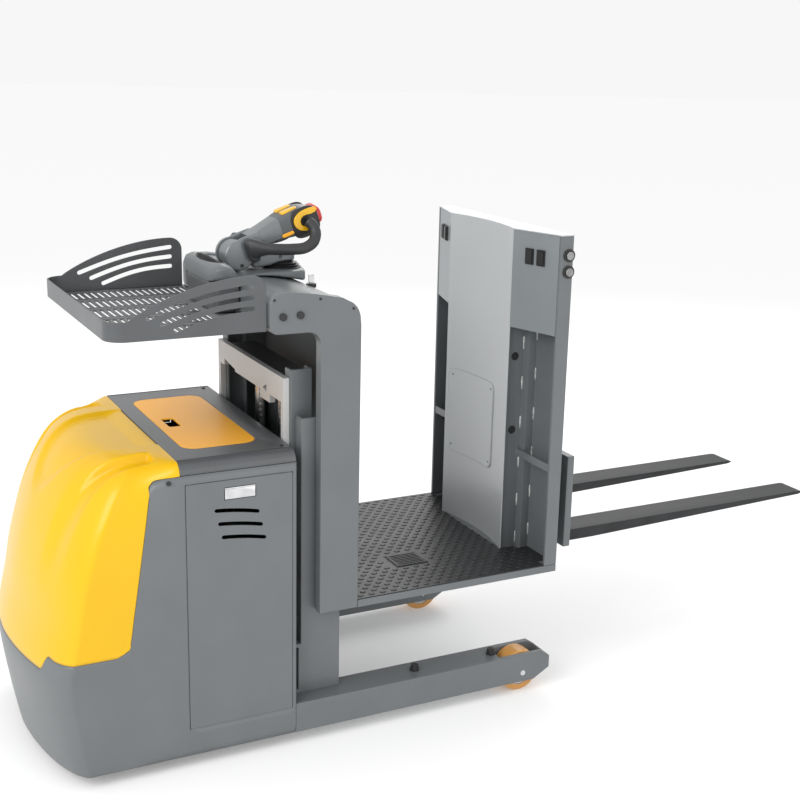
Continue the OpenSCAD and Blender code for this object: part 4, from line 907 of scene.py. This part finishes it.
class PICKER_OT_tray(bpy.types.Operator):
    """Slotted tray floor and its rim with curved side slots."""

    bl_idname = "picker.tray"
    bl_label = "Tray"

    def execute(self, context):
        x0, x1, z0, half = TRAY_LOW.x, TRAY_HIGH.x, TRAY_LOW.z, TRAY_HIGH.y
        wall, lip, r, sheet_t = TRAY_HIGH.z - z0, 0.055, 0.056, 0.004
        # one side wall: u along the truck, v up, with three slots that fan out
        u_end, crown = x1 - x0, 0.040
        rise = np.linspace(0, 1, 30)[1:-1]
        top = np.stack([r + (u_end - r - 0.046) * rise, lip + (wall - lip) * (1 - (1 - rise) ** 1.9) ** 0.92], -1)
        side_wall = np.concatenate([[(r, 0), (u_end - 0.006, 0)], arc(u_end - 0.046, wall - crown, crown, 0, 90, 10),
                                    top[::-1], [(r, lip)]])
        slots = []
        line = np.linspace(0, 1, 14)[:, None]
        turn = np.linspace(-pi / 2, pi / 2, 7)[1:-1, None]
        slot_r = 0.0065
        for k in range(3):
            first = np.array([0.112 + 0.038 * k, 0.061 - 0.019 * k])
            last = np.array([u_end - 0.046, 0.129 - 0.031 * k])
            mid = first + (last - first) * line + np.array([0, 1]) * 0.012 * np.sin(pi * line)
            d = np.gradient(mid, axis=0)
            d /= np.linalg.norm(d, axis=1)[:, None]
            n = np.stack([-d[:, 1], d[:, 0]], -1)
            far_end, near_end = (mid[i] + sign * slot_r * (np.cos(turn) * d[i] + np.sin(turn) * n[i])
                                 for i, sign in ((-1, 1), (0, -1)))
            slots.append(np.concatenate([mid - slot_r * n, far_end, (mid + slot_r * n)[::-1], near_end]))
        parts = [holed(side_wall, slots, lambda u, v, side=side: at(x0 + u, side * half, z0 + v)) for side, _ in SIDES]
        bend = arc(x0 + r, half - r, r, 90, 180, 12)
        across = np.linspace(half - r, r - half, 11)[1:-1]
        front = np.concatenate([bend, np.stack([np.full_like(across, x0), across], -1), (bend * (1, -1))[::-1]])
        parts.append(grid(np.stack([at(front[:, 0], front[:, 1], z0 + h) for h in (0, lip)])))
        rim = make("tray_rim_sheet", join(*parts), "dark_paint", "cabin", ["tray_rim"], 40, 2e-4)
        bevel(thicken(outward(rim, (x0 + 0.25, 0, z0)), sheet_t), 0.0012)
        # floor with five rows of slots, which stop at the console
        inset = sheet_t + 0.0002
        inner = arc(x0 + r, half - r, r - inset, 90, 180, 8)
        outline = np.concatenate([[(x1, inset - half)], [(x1, half - inset)], inner, (inner * (1, -1))[::-1]])
        pitch, row_pitch, slot_l, slot_w = 0.0206, 0.147, 0.104, 0.0100
        console_x = low("console_pod").x
        holes = []
        for row in range(-2, 3):
            for x in x0 + 0.032 + pitch * np.arange(21):
                if x < console_x - 0.002 or (abs(row) > 1 and x < x1 - 0.012):
                    holes.append(oval(row * row_pitch, x, slot_l, slot_w, 5)[:, ::-1])
        floor = make("tray_floor_sheet", holed(outline, holes, lambda u, v: at(u, v, z0 + sheet_t)),
                     "dark_paint", "cabin", ["tray_floor"], 40)
        thicken(outward(floor, FAR_BELOW), sheet_t)
        return {"FINISHED"}


# ---------- cabin details ----------


def hollow_x(y):
    """Face of the hollow middle panel at a place across it: a parabola that is deepest in the middle."""
    return WING_X + 0.027 * (1 - (np.asarray(y) / 0.205) ** 2)


class PICKER_OT_mat(bpy.types.Operator):
    """Rubber floor mat with rows of round studs, and the ribbed pad of the pedal."""

    bl_idname = "picker.mat"
    bl_label = "Floor mat"

    def execute(self, context):
        c = context.scene.picker_cabin
        softened("floor_mat", "mat_rubber", 0.0006)
        lo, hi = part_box("floor_mat")
        pitch, r = c.stud_pitch, c.stud_d / 2
        rows = np.arange(lo.y + 0.018, hi.y - 0.012, pitch * 0.62)
        i, j = np.meshgrid(np.arange(30), np.arange(len(rows)), indexing="ij")
        x, y = lo.x + 0.022 + (i + 0.5 * (j % 2)) * pitch, rows[j]
        # studs stay off the backrest, the posts, the pedal and the columns
        wide = np.abs(y)
        backrest_x = np.where(wide < 0.205, hollow_x(y), np.where(wide < 0.232, WING_X, hi.x))
        keep = (x > lo.x + r) & (x < backrest_x - r - 0.006) & ((x < low("backrest_posts").x - r) | (wide < 0.345))
        pedal_lo, pedal_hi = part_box("foot_pedal")
        border = 0.018
        keep &= ((x < pedal_lo.x - border) | (x > pedal_hi.x + border)
                 | (y < pedal_lo.y - border) | (y > pedal_hi.y + border))
        column_end = low("platform_deck").x + 0.008
        keep &= (x > column_end + r) | (wide < 0.34)
        x, y = x[keep], y[keep]
        # one stud: three oval rings of 12 points and a point on top
        ring = np.linspace(0, 2 * pi, 12, endpoint=False)
        dome = [(r, -0.0004), (r * 0.86, 0.0011), (r * 0.55, 0.0018)]
        stud = np.concatenate([at(q * np.cos(ring), 0.82 * q * np.sin(ring), h) for q, h in dome] + [[[0, 0, 0.0020]]])
        points = at(x, y, hi.z)[:, None] + stud
        k = np.arange(12)
        roof = np.stack([24 + k, 24 + (k + 1) % 12, np.full(12, 36)], -1)
        shift = len(stud) * np.arange(len(x))[:, None, None]
        faces = [*(quads(3, 12, True) + shift).reshape(-1, 4).tolist(), *(roof + shift).reshape(-1, 3).tolist()]
        studs = make("mat_studs", (points.reshape(-1, 3), faces), "mat_rubber", "cabin", (), 60, 1e-7)
        outward(studs, FAR_BELOW)
        ribs = [superbox(((pedal_lo.x + pedal_hi.x) / 2, pedal_lo.y + 0.012 + 0.0118 * k, pedal_hi.z + 0.0002),
                         (0.048, 0.0032, 0.0016), 4, 8, 16) for k in range(7)]
        make("pedal_ribs", join(*ribs), "black_rubber", "pedal")
        return {"FINISHED"}


class PICKER_OT_backrest(bpy.types.Operator):
    """Wings and sunk sides, hatch with round corners, stitch welds, holes and small screws."""

    bl_idname = "picker.backrest"
    bl_label = "Backrest"

    def execute(self, context):
        sides = softened("backrest_sides", "grey_paint", 0.0010)
        wing_low = BACK_TOP - 0.314
        zone(sides, "light_paint", lambda c, n: (n[:, 0] < -0.25) & (c[:, 2] > wing_low) & (np.abs(c[:, 1]) > 0.203))
        # hatch that follows the hollow panel: each row draws in at the round corners
        y0, y1, z0, z1, r = -0.090, 0.190, DECK_TOP + 0.244, DECK_TOP + 0.544, 0.028
        bend = r - arc(0, 0, r, 0, 90)[:, 1]
        z = np.unique(np.concatenate([z0 + bend, z1 - bend, np.linspace(z0, z1, 20)]))[None]
        into = np.clip(np.maximum(z0 + r - z, z - z1 + r), 0, r)
        dip = r - np.sqrt(r**2 - into**2)
        y = (y0 + dip) + (y1 - y0 - 2 * dip) * np.linspace(0, 1, 26)[:, None]
        hatch = make("hatch_plate", grid(at(hollow_x(y) - 0.0020, y, z)), "panel_paint", "cabin",
                     ["hatch_cover"], 30)
        thicken(outward(hatch, (0.4, 0.05, z0 + 0.15)), 0.0016)
        head, border = [(0, 0.0012), (0.0016, 0.0012), (0.0030, 0.0007), (0.0032, -0.0005)], 0.022
        screws = [revolve(head, (float(hollow_x(v)) - 0.0022, v, w), (-1, 0, 0), 16)
                  for v in (y0 + border, y1 - border) for w in (z0 + border, z1 - border)]
        make("hatch_screws", join(*screws), "dark_metal", "cabin")
        # stitch welds along the two inner corners of each sunk side, with beads in a bright metal that is a painted
        # highlight, and two holes, each a thin black disc of painted shade inside the hole
        post_x = low("backrest_posts").x
        half = (0.0032, 0.0026, context.scene.picker_cabin.weld_length / 2)
        # cap: profile of a thin black disc, painted shade that stands for the dark inside of each hole
        cap = [(0, 0.0004), (0.0135, 0.0004), (0.0145, -0.0004)]
        beads, holes = [], []
        for side, _ in SIDES:
            for x, y, up in ((post_x + 0.0105, side * 0.1915, 0.03), (CABIN_END - 0.0055, side * 0.2235, 0.065)):
                for z in DECK_TOP + up + 0.135 * np.arange(6):
                    bead, faces = superbox((0, 0, 0), half, 2.4, 10, 12)
                    bead[:, :2] *= 1 + 0.22 * np.sin(bead[:, 2:] * 1500)
                    beads.append((bead + (x, y, z), faces))
            for up in (0.412, 0.662):
                holes.append(revolve(cap, (post_x - 0.020, side * 0.1900, DECK_TOP + up), (0, side, 0), 32))
        # the weld beads take a bright metal that is a painted highlight
        make("stitch_welds", join(*beads), "weld_highlight", "cabin", (), 60)
        # the black discs are painted shade in the two holes
        make("side_hole_shade_discs", join(*holes), "black_plastic", "cabin")
        return {"FINISHED"}


# ---------- mast and wheels ----------


class PICKER_OT_mast_details(bpy.types.Operator):
    """Crossbeam painted dark behind its front as the shade seen through its notch, and leaf chains of pinned plates
    over the sheaves.
    """

    bl_idname = "picker.mast_details"
    bl_label = "Mast details"

    def execute(self, context):
        beam = softened("inner_crossbeam", "pale_paint", 0.0012)
        front = low("inner_crossbeam").x
        # faces more than 19.5 mm behind the front get dark metal: painted shade, the dark seen through the triangular
        # notch
        zone(beam, "dark_metal", lambda c, n: c[:, 0] > front + 0.0195)
        pitch = context.scene.picker_cabin.link_pitch
        # line of the chain: up from its low end, half round the sheave and down again
        centre = (low("chain_sheaves") + high("chain_sheaves")) / 2
        r, z_low = 0.038, low("lift_chains").z
        straight = centre.z - z_low
        length = 2 * straight + pi * r
        n = int(length / pitch)
        d = np.arange(n + 1) * length / n
        bend = np.clip((d - straight) / r, 0, pi)
        after = np.clip(d - straight - pi * r, 0, None)
        z = np.where(d < straight, z_low + d, centre.z + r * np.sin(bend) - after)
        joints = np.stack([centre.x - r * np.cos(bend), z], -1)
        # oval plates, three and two in turn, and a pin through each joint
        half_round, half_t = arc(0, 0, 0.0043, -90, 90, 5), 0.0013
        pin = [(0, 0), (0.0022, 0), (0.0022, 0.0176), (0, 0.0176)]
        pieces = []
        for y in (-0.190, -0.020):
            for k, (a, e) in enumerate(zip(joints[:-1], joints[1:])):
                along_link = (e - a) / np.linalg.norm(e - a)
                cap = half_round @ np.array([along_link, (-along_link[1], along_link[0])])
                outline = np.concatenate([e + cap, a - cap])
                for off in ((-0.0062, 0.0, 0.0062) if k % 2 else (-0.0031, 0.0031)):
                    pieces.append(slab(outline, y + off - half_t, y + off + half_t, lambda u, v, h: at(u, h, v)))
            pieces += [revolve(pin, (joint[0], y - 0.0088, joint[1]), (0, 1, 0), 8) for joint in joints]
        make("leaf_chains", join(*pieces), "bright_metal", "inner_mast", ["lift_chains"], 40, 1e-7)
        return {"FINISHED"}


class PICKER_OT_wheels(bpy.types.Operator):
    """Load wheels: crowned tyre on a turned hub."""

    bl_idname = "picker.wheels"
    bl_label = "Load wheels"

    def execute(self, context):
        w = 0.031  # half the width of the tyre
        tyre = [(0.050, -w + 0.001), (0.066, -w), (0.0700, -w + 0.003), (0.0709, -w + 0.008), (0.0710, 0.0),
                (0.0709, w - 0.008), (0.0700, w - 0.003), (0.066, w), (0.050, w - 0.001), (0.050, -w + 0.001)]
        half_hub = [(0.0101, -w + 0.004), (0.019, -w + 0.003), (0.021, -w + 0.006), (0.038, -w + 0.008),
                    (0.046, -w + 0.003), (0.0500, -w + 0.003)]
        hub = half_hub + [(r, -h) for r, h in reversed(half_hub)] + half_hub[:1]
        for side, label in SIDES:
            centre, body = (WHEEL.x, side * WHEEL.y, WHEEL.z), f"load_tyre_{label}"
            make(f"load_tyre_{label}", revolve(tyre, centre, (0, 1, 0), 72), "tyre", body,
                 [f"load_wheel_{label}"], 30)
            make(f"load_hub_{label}", revolve(hub, centre, (0, 1, 0)), "bright_metal", body, (), 30)
        return {"FINISHED"}


class PICKER_OT_doors(bpy.types.Operator):
    """Side doors with three arched vents and an opening for the latch."""

    bl_idname = "picker.doors"
    bl_label = "Side doors"

    def execute(self, context):
        x0, x1, z0, z1 = DOOR_LOW.x, DOOR_HIGH.x, DOOR_LOW.z, DOOR_HIGH.z
        gap, r, slope = 0.0016, 0.004, 0.14
        outline = np.concatenate([arc(x, z, r, turn, turn + 90, 4) for x, z, turn in (
            (x1 - r, z0 + r, -90), (x1 - r, z1 - r, 0), (x0 + r, z1 - r, 90), (x0 + r, z0 + r, 180))])
        vents = []
        for i in range(3):
            x = x1 - 0.1685 + 0.010 * i
            vent = oval(x, z1 - 0.096 - 0.041 * i, 0.135, 0.0115, 6, 0.003)
            vent[:, 1] -= slope * (vent[:, 0] - x)
            vents.append(vent)
        for side, label in SIDES:
            lo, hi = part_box(f"door_latch_{label}")
            latch = [(lo.x - gap, lo.z - gap), (hi.x + gap, lo.z - gap), (hi.x + gap, hi.z + gap),
                     (lo.x - gap, hi.z + gap)]
            sheet = holed(outline, [*vents, latch], lambda u, v, side=side: at(u, side * HALF_W, v))
            door = make(f"side_door_{label}_sheet", sheet, "grey_paint", f"door_{label}",
                        [f"side_door_{label}"], 40)
            bevel(thicken(outward(door, ((x0 + x1) / 2, 0, 0.5)), 0.004), 0.0007)
        return {"FINISHED"}


# ---------- stage ----------


class PICKER_OT_stage(bpy.types.Operator):
    """Pale floor, soft studio light and the camera."""

    bl_idname = "picker.stage"
    bl_label = "Stage"

    def execute(self, context):
        scene = context.scene
        scene.view_settings.view_transform = "Standard"
        floor = bpy.data.meshes.new("floor")
        s = 400.0  # half the side of the floor, so that its edge never shows
        floor.from_pydata([(-s, -s, 0), (s, -s, 0), (s, s, 0), (-s, s, 0)], [], [(0, 1, 2, 3)])
        obj = bpy.data.objects.new("studio_floor", floor)
        scene.collection.objects.link(obj)
        finish_of("floor_white", (0.80, 0.80, 0.80), 0.8, mottle=0.0, bump=0.0, shine=0.0, glow=0.20)
        floor.materials.append(MATERIALS["floor_white"])
        world = bpy.data.worlds.new("studio")
        world.use_nodes = True
        background = world.node_tree.nodes["Background"]
        background.inputs["Color"].default_value = (1, 1, 1, 1)
        background.inputs["Strength"].default_value = 0.93
        scene.world = world
        for name, place, aim, size, power_w in (
                ("key", (-4.6, -2.4, 3.6), (-0.4, 0, 0.8), 3.2, 150.0),
                ("fill", (1.5, -5.5, 2.6), (0.2, 0, 0.8), 3.5, 40.0),
                ("back", (2.5, 4.0, 4.0), (0, 0, 0.8), 3.0, 90.0)):
            light = bpy.data.lights.new(name, "AREA")
            light.size = size
            light.energy = power_w
            lamp = bpy.data.objects.new(name, light)
            lamp.location = place
            lamp.rotation_euler = (Vector(aim) - Vector(place)).to_track_quat("-Z", "Y").to_euler()
            scene.collection.objects.link(lamp)
        az, el, roll = radians(-26.97), radians(15.15), radians(1.30)
        back = Vector((sin(az) * cos(el), -cos(az) * cos(el), sin(el)))
        right = Vector((cos(az), sin(az), 0))
        up = back.cross(right)
        tilted = cos(roll) * right + sin(roll) * up
        upright = cos(roll) * up - sin(roll) * right
        camera = bpy.data.objects.new("camera", bpy.data.cameras.new("camera"))
        camera.data.lens = 58.95
        camera.data.sensor_width = 36
        camera.data.clip_end = 60
        matrix = Matrix((tilted, upright, back)).transposed().to_4x4()
        matrix.translation = Vector((-2.0329, -3.7377, 2.0682))
        camera.matrix_world = matrix
        scene.collection.objects.link(camera)
        scene.camera = camera
        return {"FINISHED"}


STEPS = {
    "stage": PICKER_OT_stage, "finishes": PICKER_OT_finishes, "hood": PICKER_OT_hood, "skirt": PICKER_OT_skirt,
    "frame_parts": PICKER_OT_frame_parts, "tiller": PICKER_OT_tiller, "grips": PICKER_OT_grips,
    "thumb_levers": PICKER_OT_thumb_levers, "stem": PICKER_OT_stem, "head_buttons": PICKER_OT_head_buttons,
    "console": PICKER_OT_console, "tray": PICKER_OT_tray, "mat": PICKER_OT_mat, "backrest": PICKER_OT_backrest,
    "mast_details": PICKER_OT_mast_details, "wheels": PICKER_OT_wheels, "doors": PICKER_OT_doors,
}


class PICKER_PT_panel(bpy.types.Panel):
    """Lists the pieces of the order picker."""

    bl_idname = "PICKER_PT_panel"
    bl_label = "Order picker"
    bl_space_type = "VIEW_3D"
    bl_region_type = "UI"
    bl_category = "Order Picker"

    def draw(self, context):
        for name in STEPS:
            self.layout.operator(f"picker.{name}")


LOOKS = {"picker_body": BodyLooks, "picker_cabin": CabinLooks, "picker_tiller": TillerLooks,
         "picker_paint": PaintLooks}
CLASSES = [*LOOKS.values(), *STEPS.values(), PICKER_PT_panel]


def register():
    for cls in CLASSES:
        bpy.utils.register_class(cls)
    for name, looks in LOOKS.items():
        setattr(bpy.types.Scene, name, PointerProperty(type=looks))


def unregister():
    for name in LOOKS:
        delattr(bpy.types.Scene, name)
    for cls in reversed(CLASSES):
        bpy.utils.unregister_class(cls)


def main():
    """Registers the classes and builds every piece."""
    register()
    for name in STEPS:
        getattr(bpy.ops.picker, name)()


if __name__ == "__main__":
    main()
